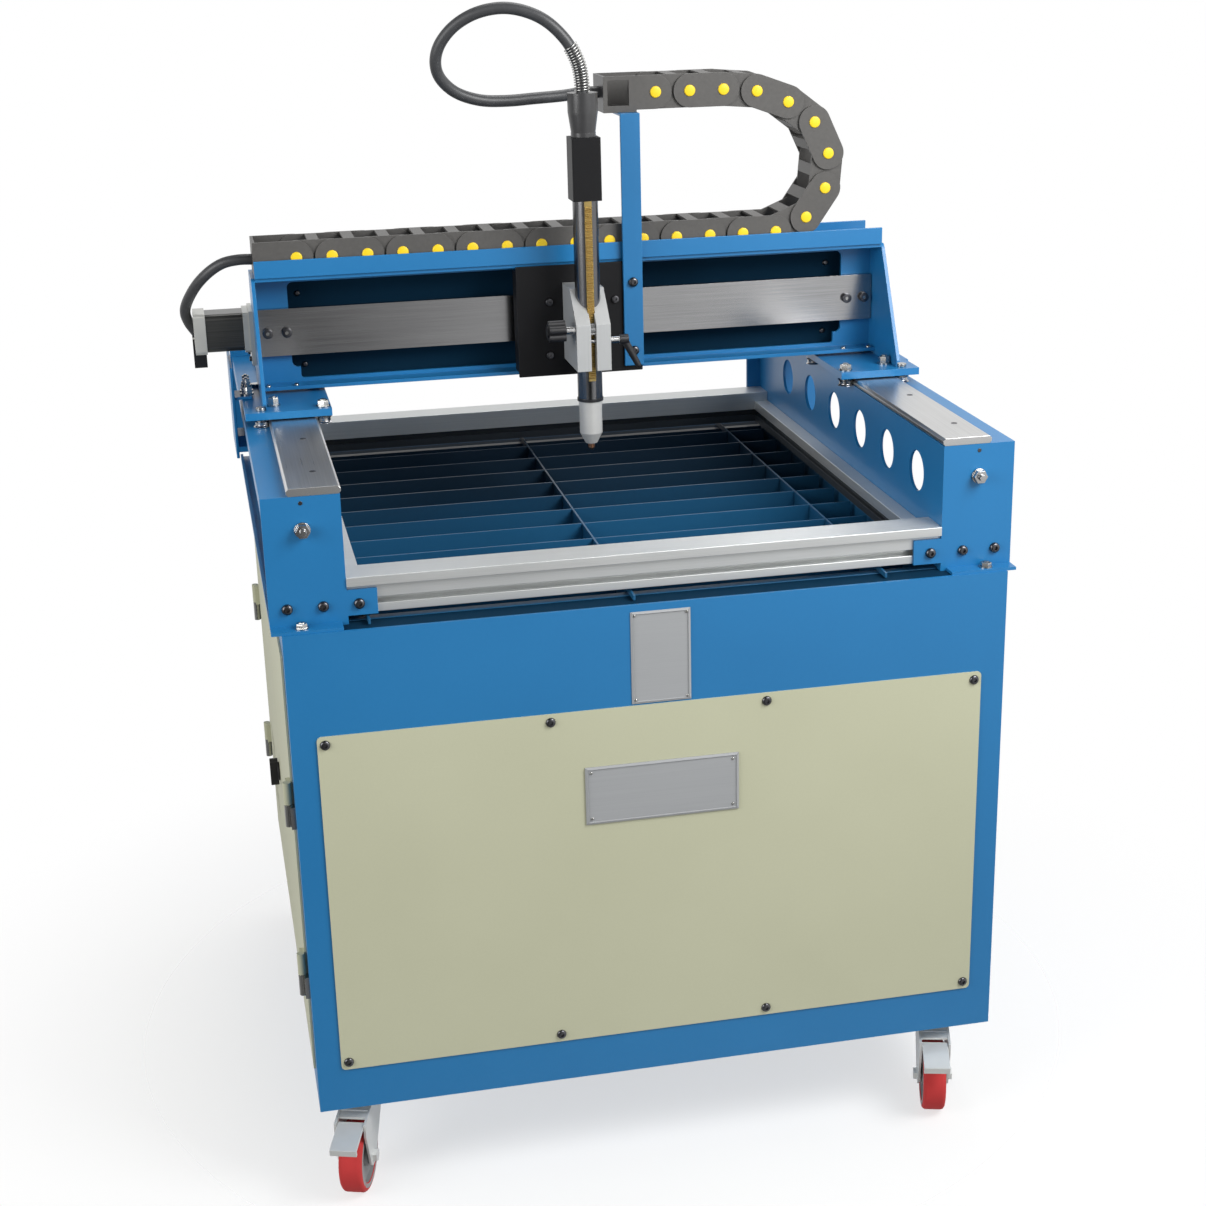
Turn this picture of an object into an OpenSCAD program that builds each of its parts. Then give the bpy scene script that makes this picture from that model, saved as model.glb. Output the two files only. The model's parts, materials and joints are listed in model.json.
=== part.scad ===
// CNC plasma table on casters: cabinet, slatted bed, two beams, gantry, torch carriage with drag chain.
// Millimetres. Origin on the floor under the middle of the cabinet, +X right, +Y to the back, +Z up.

/* [Cabinet] */
// Cabinet width, left to right
cab_w = 936; // [920:1:960]
// Cabinet depth, front to back
cab_d = 890; // [870:1:920]
// Cabinet height without casters
cab_h = 667; // [620:1:720]
// Sheet thickness of the cabinet
sheet = 2.5; // [2:0.5:4]
// Thickness of the front panel
panel_t = 2; // [1.5:0.5:3]
// Margin of blue round the front panel, at the sides
panel_side = 32; // [24:1:44]
// Largest angle of the doors is set by the joints, this is the gap between them
door_gap = 2; // [1:0.5:4]

/* [Casters] */
// Height of a caster from floor to cabinet
caster_h = 138; // [132:1:150]
// Wheel diameter
wheel_d = 100; // [90:1:104]
// Wheel width
wheel_w = 32; // [26:1:36]
// Trail of the wheel behind the swivel axis
trail = 41; // [36:1:46]
// Swivel axis in from the cabinet side
caster_in = 60; // [58:1:90]
// Swivel axis in from the cabinet front and back
caster_back = 64; // [46:1:80]

/* [Bed] */
// Depth of the open tray
tray_h = 150; // [110:1:200]
// Number of slats
slat_n = 10; // [6:1:10]
// Spacing of the slats
slat_pitch = 75; // [60:1:78]
// Depth of slats and cross bars
slat_h = 60; // [45:1:75]
// Thickness of slats and cross bars
slat_t = 3; // [2:0.5:5]
// Depth of the front and rear rails
rail_d = 45; // [40:1:50]
// Height of the front and rear rails
rail_h = 48; // [44:1:56]

/* [Beams] */
// Width of a beam
beam_w = 96; // [90:1:104]
// Height of a beam
beam_h = 167; // [150:1:185]
// Sheet thickness of a beam
beam_t = 4; // [3:0.5:5]
// Diameter of the holes in the inner wall
hole_d = 55; // [40:1:65]
// Spacing of those holes
hole_pitch = 119; // [100:1:126]
// Width of a guide bar
bar_w = 66; // [60:1:70]
// Thickness of a guide bar
bar_t = 10; // [9:0.5:12]

/* [Gantry] */
// Length of a foot plate
foot_l = 184; // [160:1:190]
// Thickness of a foot plate
foot_t = 10; // [8:1:14]
// Height of the gantry beam above the feet
gan_h = 166; // [158:1:176]
// Height of the X guide bar
xbar_h = 66; // [60:1:72]
// Thickness of the X guide bar
xbar_t = 10; // [8:0.5:11]
// Diameter of the drive screws
screw_d = 16; // [14:0.5:18]
// Width of a stepper motor
motor_w = 57; // [56:0.5:60]

/* [Drag chain] */
// Pitch of the links
link_p = 48.7; // [48:0.1:49.5]
// Height of a link
link_h = 46; // [40:0.5:46]
// Width over the outer links
link_w = 68; // [60:1:72]
// Thickness of the link plates
link_t = 3; // [2:0.5:3]

/* [Torch] */
// Barrel diameter
torch_d = 35; // [33:0.5:36]
// Width of the torch holder
holder_w = 48; // [46:1:60]
// Width of the rack strip
rack_w = 10; // [9:0.5:12]
// Teeth of the pinion
pinion_n = 14; // [12:1:16]
// Hose diameter
hose_d = 16; // [14:0.5:16.5]
// Diameter of the motor lead
lead_d = 15; // [12:0.5:16]
// Wire diameter of the strain spring
wire_d = 2; // [1.6:0.1:2.2]
// Turns of the strain spring
spring_n = 17; // [12:1:18]

/* [Fits] */
// Radial running clearance of shafts
fit = 0.05; // [0.03:0.01:0.1]
// Gap between sliding faces
glide = 0.3; // [0.3:0.05:0.5]

/* [Hidden] */
$fn = 48;
eps = 0.01;

blue = [0.10, 0.36, 0.58];
cream = [0.72, 0.70, 0.55];
steel = [0.62, 0.63, 0.65];
zinc = [0.70, 0.70, 0.68];
alu = [0.75, 0.76, 0.77];
black = [0.04, 0.04, 0.045];
grey = [0.22, 0.22, 0.22];
brass = [0.72, 0.55, 0.25];
copper = [0.72, 0.38, 0.22];
red = [0.68, 0.06, 0.06];

// Cabinet frame lines
hx = cab_w / 2;
hy = cab_d / 2;
z_cab0 = caster_h;
z_cab1 = caster_h + cab_h;

// Front panel and its screws
panel_hx = hx - panel_side;
panel_z0 = z_cab0 + 60;
panel_z1 = z_cab1 - 135;
panel_edge = 10;
screw_x = panel_hx - panel_edge;
panel_screws = [for (x = [-screw_x, -screw_x / 3, screw_x / 3, screw_x])
    for (z = [panel_z0 + 11, panel_z1 - 11]) [x, z]];

// Doors on the left side
door_half = hy - 36;
door_z0 = z_cab0 + 44;
door_z1 = z_cab1 - 37;
door_t = 2.5;
hinge_x = -hx - 8;
hinge_y = door_half + 3;
hinge_r = 5;
hinge_pin_r = 3;
hinge_len = 60;
hinge_z = [door_z0 + 116, door_z0 + 358];
latch_y = 45;
latch_z = z_cab0 + 285;

// Beams, front and rear plates
beam_out = hx + 12.5;
beam_in = beam_out - beam_w;
lip_top = 22;
lip_low = 8;
z_beam = z_cab1 + beam_h;
yb0 = -hy + 29;
yb1 = hy - 9;
plate_t = 4;
rear_t = 5;
z_tab0 = z_cab1 + 11;
z_tab1 = z_cab1 + 44;
tab_in = beam_in - 37;
rear_in = beam_in - 22.5;
ys_x = beam_in + beam_w / 2;
ys_z = z_beam - 42;
hole_y0 = yb0 + 95;
hole_z = z_beam - 57;
end_bolts = [beam_out - 22.5, beam_out - 66.5, beam_in - 14.5];
z_bolt = z_cab1 + 26;

// Guide bars with V edges
gbar_in = beam_in - 1.5;
gbar_out = gbar_in + bar_w;
z_bar = z_beam + bar_t;
bar_v = 3;
z_gmid = z_beam + bar_t / 2;

// Tray and slats
ring_x = beam_in - 8;
ring_y = hy - 47;
tray_x = ring_x - 0.5;
tray_y = ring_y - 0.5;
tray_t = 1.5;
tray_lip = tray_t;
z_slat = z_cab1 + 8.5;
bar_x = [-360, -27, 306];
bar_tongue = hy - 13;
slat_x0 = -tray_x + 4;
slat_x1 = tray_x - 10;
slat_mid = 11;
lap = 0.2;

// Bed rails
z_rail0 = z_cab1 + 12;
rail_y1 = yb0 + rail_d;
rear_y0 = yb1 - rail_d;
side_w = 22;
side_h = 34;

// Control box inside the cabinet
ctl_x = round(hx * 0.342);
ctl_y1 = hy - 40;
ctl_y0 = ctl_y1 - round(cab_d * 0.236);
ctl_h = round(cab_h * 0.225);
ctl_t = 2;
ctl_slit = 6;

// Gantry
gan_y = -64;
foot_in = beam_in - 21.5;
foot_out = beam_out - 0.5;
z_foot0 = z_bar + 2;
z_foot1 = z_foot0 + foot_t;
z_gan = z_foot1 + gan_h;
end_in = gbar_out + 1;
end_t = 5;
end_out = end_in + end_t;
gan_t = 5;
z_gan0 = z_foot1 + 5;
y_web = 74;
y_back = 104;
y_flange = 26;
y_low = 45;
z_xbar = z_foot1 + 83;
z_xs = z_xbar + 3;
y_xs = 92;
y_xbar = y_web - xbar_t;
win_x = end_in - 45;
win_z0 = z_gan0 + gan_t + 21;
win_z1 = z_gan - gan_t - 10;
step_x = win_x - 11.5;
step_z = z_gan0 + gan_t + 5;
xbolts = [end_in - 40, end_in - 13.5];

// Drive brackets and the Y nuts on them
reach_t = 4;
reach_x = beam_out + 9.5;
reach_y0 = gan_y + foot_l / 2 - 8;
reach_y1 = gan_y + foot_l + 30;
ynut_y = gan_y + foot_l / 2 + 17;
ynut_l = 50;

// V rollers
root_r = 9;
axle_r = 4;
roll_in = gbar_in - glide - root_r;
roll_out = gbar_out + glide + root_r;
roll_yf = gan_y + 15;
roll_yr = gan_y + foot_l - 15;
roll_h = 4.5;

// Chain tray and chain
tray_y0 = 22;
tray_y1 = tray_y0 + link_w + 10;
lip_h = 24;
lip_t = 2.5;
link_r = link_h / 2;
chain_y = (tray_y0 + tray_y1) / 2;
chain_z = z_gan + lip_t + link_t + 0.2 + link_r - 3;
turns = [22, 33, 30, 30, 28, 17, 15, 5];
pins_low = 15;
pin_count = 24;
function sum_to(v, n) = n <= 0 ? 0 : v[n - 1] + sum_to(v, n - 1);
function seg_dir(i) = i < pins_low - 1 ? 0 : sum_to(turns, min(len(turns), i - pins_low + 2));
function pin_dx(i) = i <= 0 ? 0 : pin_dx(i - 1) + link_p * cos(seg_dir(i - 1));
function pin_dz(i) = i <= 0 ? 0 : pin_dz(i - 1) + link_p * sin(seg_dir(i - 1));
chain_end_x = 117;
chain_x0 = chain_end_x - pin_dx(pin_count - 1);
chain_up_z = chain_z + pin_dz(pin_count - 1);
function pin_at(i) = [chain_x0 + pin_dx(i), chain_z + pin_dz(i)];
split = 17;

// Carriage
car_x = 90;
car_y = 18;
car_t = 4;
z_car0 = z_foot1 + 6;
z_car1 = z_gan - 3;
sad_x = 75;
nut_r = 11.5;
arm_x0 = 63;
arm_x1 = 91;
arm_t = 5;
conn_x0 = 43;
conn_x1 = 94;
z_ledge = chain_up_z - link_r - link_t;

// Torch and holder
torch_y = -42;
torch_r = torch_d / 2;
mod = 1;
rack_seat = torch_y - torch_r + 1;
rack_pitch_y = rack_seat - 4.6;
rack_tip_y = rack_pitch_y - 0.9;
pinion_r = pinion_n * mod / 2;
pin_y = rack_pitch_y - pinion_r;
pin_z = z_foot1 + 87;
pin_shaft_r = 3;
lev_z = pin_z - 16.5;
hold_front = pin_y - 9;
hold_z0 = z_foot1 + 30;
hold_z1 = z_foot1 + 138;
hold_cham = 44;
slit_w = 8;
z_block0 = z_foot1 + 260;
z_block1 = z_block0 + 84;
z_collar = z_block1 + 58;
collar_r = 20.5;
collar_h = 28;
z_barrel0 = z_foot1 - 19;
z_cup1 = z_barrel0;
z_cup0 = z_barrel0 - 61;
z_nozzle = z_cup0 - 10;
rack_z0 = z_foot1 + 12;

// Hose route: from the collar up, over to the left, round and into the chain end
hose_r = hose_d / 2;
hose_pts = [
    [0, torch_y, z_collar], [-1, torch_y, z_collar + 20], [-6, torch_y, z_collar + 42],
    [-20, -41, z_collar + 68],
    [-44, -38, z_collar + 92], [-72, -33, z_collar + 106], [-103, -27, z_collar + 111],
    [-136, -19, z_collar + 105], [-164, -9, z_collar + 89], [-183, 1, z_collar + 66],
    [-189, 10, z_collar + 42],
    [-182, 19, z_collar + 20], [-160, 29, z_collar], [-126, 39, z_collar - 12], [-88, 48, z_collar - 15],
    [-48, chain_y - 4, z_collar - 14], [-8, chain_y, chain_up_z - 3], [20, chain_y, chain_up_z],
    [conn_x0, chain_y, chain_up_z]
];

// Motor lead route: from the chain's fixed end round the back of the motor
mot_x = -end_out - 6;
mot_len = 76;
con_x = mot_x - mot_len + 6;
con_y = y_xs + motor_w / 2 + 11;
lead_z = chain_z - 4;
lead_pts = [
    [-end_in, chain_y, lead_z], [-end_in - 20, chain_y + 1, lead_z], [-end_in - 42, chain_y + 5, lead_z - 5],
    [-end_in - 64, 74, lead_z - 20], [-end_in - 83, 90, lead_z - 43], [-end_in - 96, 110, z_xs + 30],
    [-end_in - 93, 126, z_xs + 8], [con_x, con_y, z_xs - 12]
];

// Smooth route through points
function clampi(i, n) = max(0, min(n, i));
function knot(p, i) = p[clampi(i, len(p) - 1)];
function catmull(a, b, c, d, t) =
    0.5 * (2 * b + (c - a) * t + (2 * a - 5 * b + 4 * c - d) * t * t + (3 * b - a - 3 * c + d) * t * t * t);
function route(p, n) = concat([for (i = [0:len(p) - 2]) for (k = [0:n - 1])
    catmull(knot(p, i - 1), p[i], p[i + 1], knot(p, i + 2), k / n)], [p[len(p) - 1]]);
function unit(v) = v / norm(v);
function dir_at(p, i) = unit(p[clampi(i + 1, len(p) - 1)] - p[clampi(i - 1, len(p) - 1)]);
function turn_frame(u, t) = unit(u - (u * t) * t);
function frames(p, i, u, out) = i >= len(p) ? out :
    let (w = turn_frame(u, dir_at(p, i))) frames(p, i + 1, w, concat(out, [w]));
function ring(c, u, v, r, m) = [for (k = [0:m - 1]) c + r * cos(360 * k / m) * u + r * sin(360 * k / m) * v];
function grid_faces(n, m) = concat(
    [[for (k = [0:m - 1]) k]],
    [for (i = [0:n - 2]) for (k = [0:m - 1]) let (k1 = (k + 1) % m)
        [i * m + k, (i + 1) * m + k, (i + 1) * m + k1, i * m + k1]],
    [[for (k = [m - 1:-1:0]) (n - 1) * m + k]]);
function end_dir(p, i, t0, t1) = i == 0 ? t0 : (i == len(p) - 1 ? t1 : dir_at(p, i));

// Tube along a route, its two end faces square to the given directions
module tube(p, r, m, up, t0, t1) {
    u0 = turn_frame(up, t0);
    f = frames(p, 0, u0, []);
    pts = [for (i = [0:len(p) - 1])
        let (t = end_dir(p, i, t0, t1), u = turn_frame(f[i], t), v = cross(t, u))
        each ring(p[i], u, v, r, m)];
    polyhedron(pts, grid_faces(len(p), m), convexity = 6);
}

// Box between two corners
module box(a, b) {
    translate(a) cube(b - a);
}

// Rounded rectangle in two dimensions, corner to corner
module rrect(a, b, r) {
    translate([a[0] + r, a[1]]) square([b[0] - a[0] - 2 * r, b[1] - a[1]]);
    translate([a[0], a[1] + r]) square([b[0] - a[0], b[1] - a[1] - 2 * r]);
    for (x = [a[0] + r, b[0] - r]) for (y = [a[1] + r, b[1] - r]) translate([x, y]) circle(r);
}

// Cylinders along the axes, from one end to the other
module rod_x(y, z, r, x0, x1) {
    translate([x0, y, z]) rotate([0, 90, 0]) cylinder(r = r, h = x1 - x0);
}

module rod_y(x, z, r, y0, y1) {
    translate([x, y1, z]) rotate([90, 0, 0]) cylinder(r = r, h = y1 - y0);
}

module rod_z(x, y, r, z0, z1) {
    translate([x, y, z0]) cylinder(r = r, h = z1 - z0);
}

// Flat profile in Y and Z pushed along X
module slab_x(x0, x1) {
    translate([x0, 0, 0]) rotate([90, 0, 90]) linear_extrude(x1 - x0) children();
}

// Flat profile in X and Z pushed along Y
module slab_y(y0, y1) {
    translate([0, y1, 0]) rotate([90, 0, 0]) linear_extrude(y1 - y0) children();
}

module both_sides() {
    children();
    mirror([1, 0, 0]) children();
}

module hex_y(x, z, af, y0, y1) {
    translate([x, y1, z]) rotate([90, 0, 0]) cylinder(r = af / sqrt(3), h = y1 - y0, $fn = 6);
}

// Cabinet: folded sheet with an open top, an opening behind the front panel and one for the doors
module cabinet_shell() color(blue) {
    difference() {
        box([-hx, -hy, z_cab0], [hx, hy, z_cab1]);
        box([-hx + sheet, -hy + sheet, z_cab0 + sheet], [hx - sheet, hy - sheet, z_cab1 - sheet]);
        box([-ring_x, -ring_y, z_cab1 - 20], [ring_x, ring_y, z_cab1 + 1]);
        slab_y(-hy - 1, -hy + 10) rrect([-panel_hx + 36, panel_z0 + 36], [panel_hx - 36, panel_z1 - 36], 12);
        slab_x(-hx - 1, -hx + 10) rrect([-door_half + 5, door_z0 + 5], [door_half - 5, door_z1 - 5], 4);
        for (s = panel_screws) rod_y(s[0], s[1], 3.1, -hy - 1, -hy + 10);
        for (x = [-ys_x - 10, ys_x + 10]) rod_z(x, yb0 - 15, 4.1, z_cab1 - 10, z_cab1 + 1);
        for (x = [-hx + caster_in, hx - caster_in]) for (y = [-hy + caster_back, hy - caster_back])
            rod_z(x, y, 9, z_cab0 - 1, z_cab0 + 10);
        for (k = [-3:3]) box([250 + 16 * k, hy - 10, z_cab0 + 90], [256 + 16 * k, hy + 1, z_cab0 + 190]);
    }
    for (s = [-1, 1]) for (z = hinge_z) frame_knuckle(s, z);
}

// Lower knuckle with the hinge pin, welded to the cabinet
module frame_knuckle(s, z) {
    rod_z(hinge_x, s * hinge_y, hinge_r, z, z + hinge_len / 2 - 0.15);
    rod_z(hinge_x, s * hinge_y, hinge_pin_r, z, z + hinge_len - 6);
    y0 = s < 0 ? -hinge_y - 14 : hinge_y;
    box([hinge_x + 2, y0, z], [-hx + eps, y0 + 14, z + hinge_len / 2 - 0.15]);
}

// Cream front panel
module front_panel() color(cream) {
    difference() {
        slab_y(-hy - panel_t, -hy) rrect([-panel_hx, panel_z0], [panel_hx, panel_z1], 6);
        for (s = panel_screws) rod_y(s[0], s[1], 3.1, -hy - panel_t - 1, -hy + 1);
    }
}

// Panel screws, end-plate bolts and flange bolts
module table_screws() color(zinc) {
    for (s = panel_screws) panel_screw(s[0], s[1]);
    both_sides() for (x = end_bolts) {
        rod_y(x, z_bolt, 8.5, yb0 - plate_t - 1.6, yb0 - plate_t);
        hex_y(x, z_bolt, 13, yb0 - plate_t - 7.5, yb0 - plate_t - 1.5);
        rod_y(x, z_bolt, 4, yb0 - plate_t - 3, yb0 - 0.3);
    }
    both_sides() {
        rod_z(ys_x + 10, yb0 - 15, 7, z_cab1 + plate_t, z_cab1 + plate_t + 1.5);
        translate([ys_x + 10, yb0 - 15, z_cab1 + plate_t + 1.4]) cylinder(r = 13 / sqrt(3), h = 5.5, $fn = 6);
        rod_z(ys_x + 10, yb0 - 15, 4, z_cab1 - 12, z_cab1 + plate_t + 2);
    }
}

module panel_screw(x, z) {
    translate([x, -hy - panel_t, z]) rotate([90, 0, 0]) {
        cylinder(r = 6, h = 1.2);
        translate([0, 0, 1.2]) cylinder(r1 = 6, r2 = 3.6, h = 1.8);
    }
    rod_y(x, z, 3, -hy - panel_t - 1, -hy + 7);
}

// Open tray below the slats, hung on the cabinet top
module slag_tray() color(blue) {
    difference() {
        union() {
            box([-tray_x, -tray_y, z_cab1 - tray_h], [tray_x, tray_y, z_cab1 + tray_lip]);
            box([-beam_in + 1, -tray_y - 12, z_cab1], [beam_in - 1, tray_y + 12, z_cab1 + tray_lip]);
        }
        box([-tray_x + tray_t, -tray_y + tray_t, z_cab1 - tray_h + tray_t],
            [tray_x - tray_t, tray_y - tray_t, z_cab1 + 5]);
        for (x = [-248, 46]) box([x - 36, tray_y - 6, z_cab1 - 16], [x + 36, tray_y + 1, z_cab1 - 8]);
    }
}

// Slats along X half-lapped into three cross bars along Y
module slat_grid() color(blue) {
    for (x = bar_x) cross_bar(x);
    for (k = [0:slat_n - 1]) slat(slat_mid + (k - (slat_n - 1) / 2) * slat_pitch);
}

module cross_bar(x) {
    difference() {
        union() {
            box([x - slat_t / 2, -tray_y + 12, z_slat - slat_h], [x + slat_t / 2, tray_y - 12, z_slat]);
            box([x - slat_t / 2, -bar_tongue, z_cab1 + tray_lip], [x + slat_t / 2, bar_tongue, z_slat]);
        }
        for (k = [0:slat_n - 1]) {
            y = slat_mid + (k - (slat_n - 1) / 2) * slat_pitch;
            box([x - slat_t, y - slat_t / 2 - lap, z_slat - slat_h - 1],
                [x + slat_t, y + slat_t / 2 + lap, z_slat - slat_h / 2]);
        }
    }
}

module slat(y) {
    difference() {
        box([slat_x0, y - slat_t / 2, z_slat - slat_h], [slat_x1, y + slat_t / 2, z_slat]);
        for (x = bar_x)
            box([x - slat_t / 2 - lap, y - slat_t, z_slat - slat_h / 2 - lap],
                [x + slat_t / 2 + lap, y + slat_t, z_slat + 1]);
    }
}

// Slotted front and rear rails and plain side rails that frame the bed
module bed_rails() color(alu) {
    slab_x(-beam_in, beam_in) rail_profile(yb0, 1, 6);
    slab_x(-beam_in, beam_in) rail_profile(yb1, -1, 0);
    both_sides() difference() {
        box([beam_in - side_w, rail_y1 + 0.15, z_rail0], [beam_in, rear_y0 - 0.15, z_rail0 + side_h]);
        box([beam_in - side_w - 1, rail_y1 - 1, z_rail0 + 11],
            [beam_in - side_w + 6, rear_y0 + 1, z_rail0 + 19]);
    }
}

// Profile of a rail with its outer face at y0, the body going inward by the sign s, with a lip on top
module rail_profile(y0, s, lip) {
    translate([y0, z_rail0]) scale([s, 1]) difference() {
        union() {
            square([rail_d, rail_h]);
            translate([-lip, rail_h - 12]) square([lip + 1, 12]);
        }
        translate([-1, 11]) square([6, 8]);
        translate([4, 7]) square([8, 16]);
        translate([rail_d - 5, 11]) square([6, 8]);
        translate([rail_d - 12, 7]) square([8, 16]);
        translate([18.5, -1]) square([8, 6]);
        translate([14.5, 4]) square([16, 8]);
        translate([16, 27]) square([rail_d - 32, 13]);
    }
}

// Right beam: folded channel open to the outside, with its front and rear end plates
module beam_shape() {
    difference() {
        union() {
            box([beam_in, yb0, z_cab1], [beam_in + beam_t, yb1, z_beam]);
            box([beam_in, yb0, z_beam - beam_t], [beam_out, yb1, z_beam]);
            box([beam_in, yb0, z_cab1], [beam_out, yb1, z_cab1 + beam_t]);
            box([beam_out - beam_t, yb0, z_beam - lip_top], [beam_out, yb1, z_beam]);
            box([beam_out - beam_t, yb0, z_cab1], [beam_out, yb1, z_cab1 + lip_low]);
            box([beam_in, yb0 - plate_t, z_cab1], [beam_out, yb0 + eps, z_beam]);
            box([tab_in, yb0 - plate_t, z_tab0], [beam_in + 1, yb0, z_tab1]);
            box([beam_in + 8, yb0 - 26, z_cab1], [beam_out, yb0 - plate_t + eps, z_cab1 + plate_t]);
            box([rear_in, yb1 - eps, z_tab0], [beam_out + 3, yb1 + rear_t, z_beam + 26]);
        }
        for (k = [0:5])
            rod_x(hole_y0 + k * hole_pitch, hole_z, hole_d / 2, beam_in - 1, beam_in + beam_t + 1);
        rod_y(ys_x, ys_z, 6 + fit, yb0 - plate_t - 1, yb0 + 1);
        rod_y(ys_x, ys_z, 19.05 + fit, yb1 - 1, yb1 + rear_t + 1);
        for (x = end_bolts) rod_y(x, z_bolt, 4.1, yb0 - plate_t - 1, yb0 + 1);
        rod_z(ys_x + 10, yb0 - 15, 4.1, z_cab1 - 1, z_cab1 + plate_t + 1);
    }
}

module right_beam() color(blue) {
    beam_shape();
}

module left_beam() color(blue) {
    mirror([1, 0, 0]) beam_shape();
}

// Steel guide bars with V edges on top of the beams
module guide_bars() color(steel) {
    both_sides() slab_y(yb0 - plate_t, yb1 - 0.5) polygon([
        [gbar_in + bar_v, z_beam], [gbar_out - bar_v, z_beam],
        [gbar_out, z_beam + bar_v], [gbar_out, z_bar - bar_v],
        [gbar_out - bar_v, z_bar], [gbar_in + bar_v, z_bar],
        [gbar_in, z_bar - bar_v], [gbar_in, z_beam + bar_v]
    ]);
}

// Stepper motors on the rear plates of the beams
module y_motors() color(black) {
    both_sides() translate([ys_x, yb1 + rear_t, ys_z]) rotate([-90, 0, 0]) stepper(rear_t);
}

// Stepper: flange at z = 0, body along +z, centring boss along -z
module stepper(boss) {
    h = motor_w / 2;
    difference() {
        union() {
            translate([0, 0, -boss + 0.5]) cylinder(r = 19.05, h = boss);
            linear_extrude(8) rrect([-h, -h], [h, h], 4);
            translate([0, 0, 7]) linear_extrude(mot_len - 22) rrect([-h + 2, -h + 2], [h - 2, h - 2], 8);
            translate([0, 0, mot_len - 16]) linear_extrude(16) rrect([-h, -h], [h, h], 5);
        }
        translate([0, 0, -boss - 1]) cylinder(r = 4 + fit, h = boss + 27);
        for (x = [-23.57, 23.57]) for (y = [-23.57, 23.57]) translate([x, y, -1]) cylinder(r = 2.6, h = 10);
    }
}

// Mounting plates of the casters, with the pivot hole
module caster_plates() color(zinc) {
    for (sx = [-1, 1]) for (sy = [-1, 1])
        translate([sx * (hx - caster_in), sy * (hy - caster_back), 0]) caster_plate();
}

module caster_plate() {
    difference() {
        union() {
            box([-50, -40, z_cab0 - 3], [50, 40, z_cab0]);
            rod_z(0, 0, 31, z_cab0 - 9, z_cab0 - 3 + eps);
        }
        rod_z(0, 0, 7 + fit, z_cab0 - 10, z_cab0 + 1);
        for (x = [-40, 40]) for (y = [-30, 30]) rod_z(x, y, 4.5, z_cab0 - 4, z_cab0 + 1);
    }
}

// Control box on the cabinet floor
module control_box() color(grey) {
    z0 = z_cab0 + sheet;
    difference() {
        box([-ctl_x, ctl_y0, z0], [ctl_x, ctl_y1, z0 + ctl_h]);
        box([-ctl_x + ctl_t, ctl_y0 + ctl_t, z0 - 1], [ctl_x - ctl_t, ctl_y1 - ctl_t, z0 + ctl_h - ctl_t]);
        for (k = [-4:4]) translate([ctl_slit * 2 * k, 0, z0])
            box([-ctl_slit / 2, ctl_y0 - 1, ctl_h * 0.4], [ctl_slit / 2, ctl_y0 + ctl_t + 1, ctl_h * 0.8]);
    }
}

// Door pan with its upper knuckles; s is the side of its hinges
module door_shape(s) {
    x0 = -hx - glide - door_t;
    x1 = -hx - glide;
    y_edge = door_half;
    mirror([0, s < 0 ? 0 : 1, 0]) difference() {
        union() {
            slab_x(x0, x1) rrect([-y_edge, door_z0], [-door_gap / 2, door_z1], 3);
            box([x1 - eps, -y_edge + 9, door_z0 + 9], [x1 + 8, -y_edge + 11, door_z1 - 9]);
            box([x1 - eps, -8, door_z0 + 9], [x1 + 4, -6, door_z1 - 9]);
            box([x1 - eps, -y_edge + 9, door_z0 + 9], [x1 + 4, -6, door_z0 + 11]);
            box([x1 - eps, -y_edge + 9, door_z1 - 11], [x1 + 4, -6, door_z1 - 9]);
            for (z = hinge_z) {
                rod_z(hinge_x, -hinge_y, hinge_r, z + hinge_len / 2 + 0.15, z + hinge_len);
                box([hinge_x - 1, -hinge_y, z + hinge_len / 2 + 0.15],
                    [x0 + eps, -y_edge + 12, z + hinge_len]);
            }
        }
        for (z = hinge_z) rod_z(hinge_x, -hinge_y, hinge_pin_r + fit, z + 20, z + hinge_len - 5);
        if (s > 0) for (k = [0:5]) translate([0, -y_edge, door_z0 + 90 + 22 * k])
            slab_x(x0 - 1, x1 + 1) rrect([70, 0], [190, 7], 3);
        if (s > 0) rod_x(-latch_y, latch_z, 6 + fit, x0 - 1, x1 + 1);
    }
}

module front_door() color(cream) {
    door_shape(-1);
}

module rear_door() color(cream) {
    door_shape(1);
}

// Quarter-turn latch on the rear door, shown unlocked with the cam up
module door_latch() color(black) {
    x0 = -hx - glide - door_t;
    x1 = -hx - glide;
    rod_x(latch_y, latch_z, 14, x0 - 3.2, x0 - 0.2);
    rod_x(latch_y, latch_z, 6, x0 - 4, x1 + 9.5);
    translate([x0 - 14, 0, 0]) slab_x(0, 12) translate([latch_y, latch_z]) rrect([-6, -21], [6, 21], 5);
    slab_x(x1 + 6.5, x1 + 9.5) translate([latch_y, latch_z]) rrect([-8, -8], [8, 58], 4);
}

// Gantry beam: back plate, flanges and a front web with a long stepped window
module gantry_beam() color(blue) {
    box([-end_in, y_back, z_gan0], [end_in, y_back + gan_t, z_gan]);
    box([-end_in, y_flange, z_gan - gan_t], [end_in, y_back + gan_t, z_gan]);
    box([-end_in, y_low, z_gan0], [end_in, y_back + gan_t, z_gan0 + gan_t]);
    slab_y(y_web, y_web + gan_t) difference() {
        translate([-end_in, z_gan0]) square([2 * end_in, z_gan - z_gan0]);
        rrect([-win_x, win_z0], [win_x, win_z1], 8);
        rrect([-step_x, step_z], [step_x, win_z0 + 20], 4);
        for (s = [-1, 1]) for (x = xbolts) translate([s * x, z_xbar]) circle(3.1);
    }
}

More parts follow.
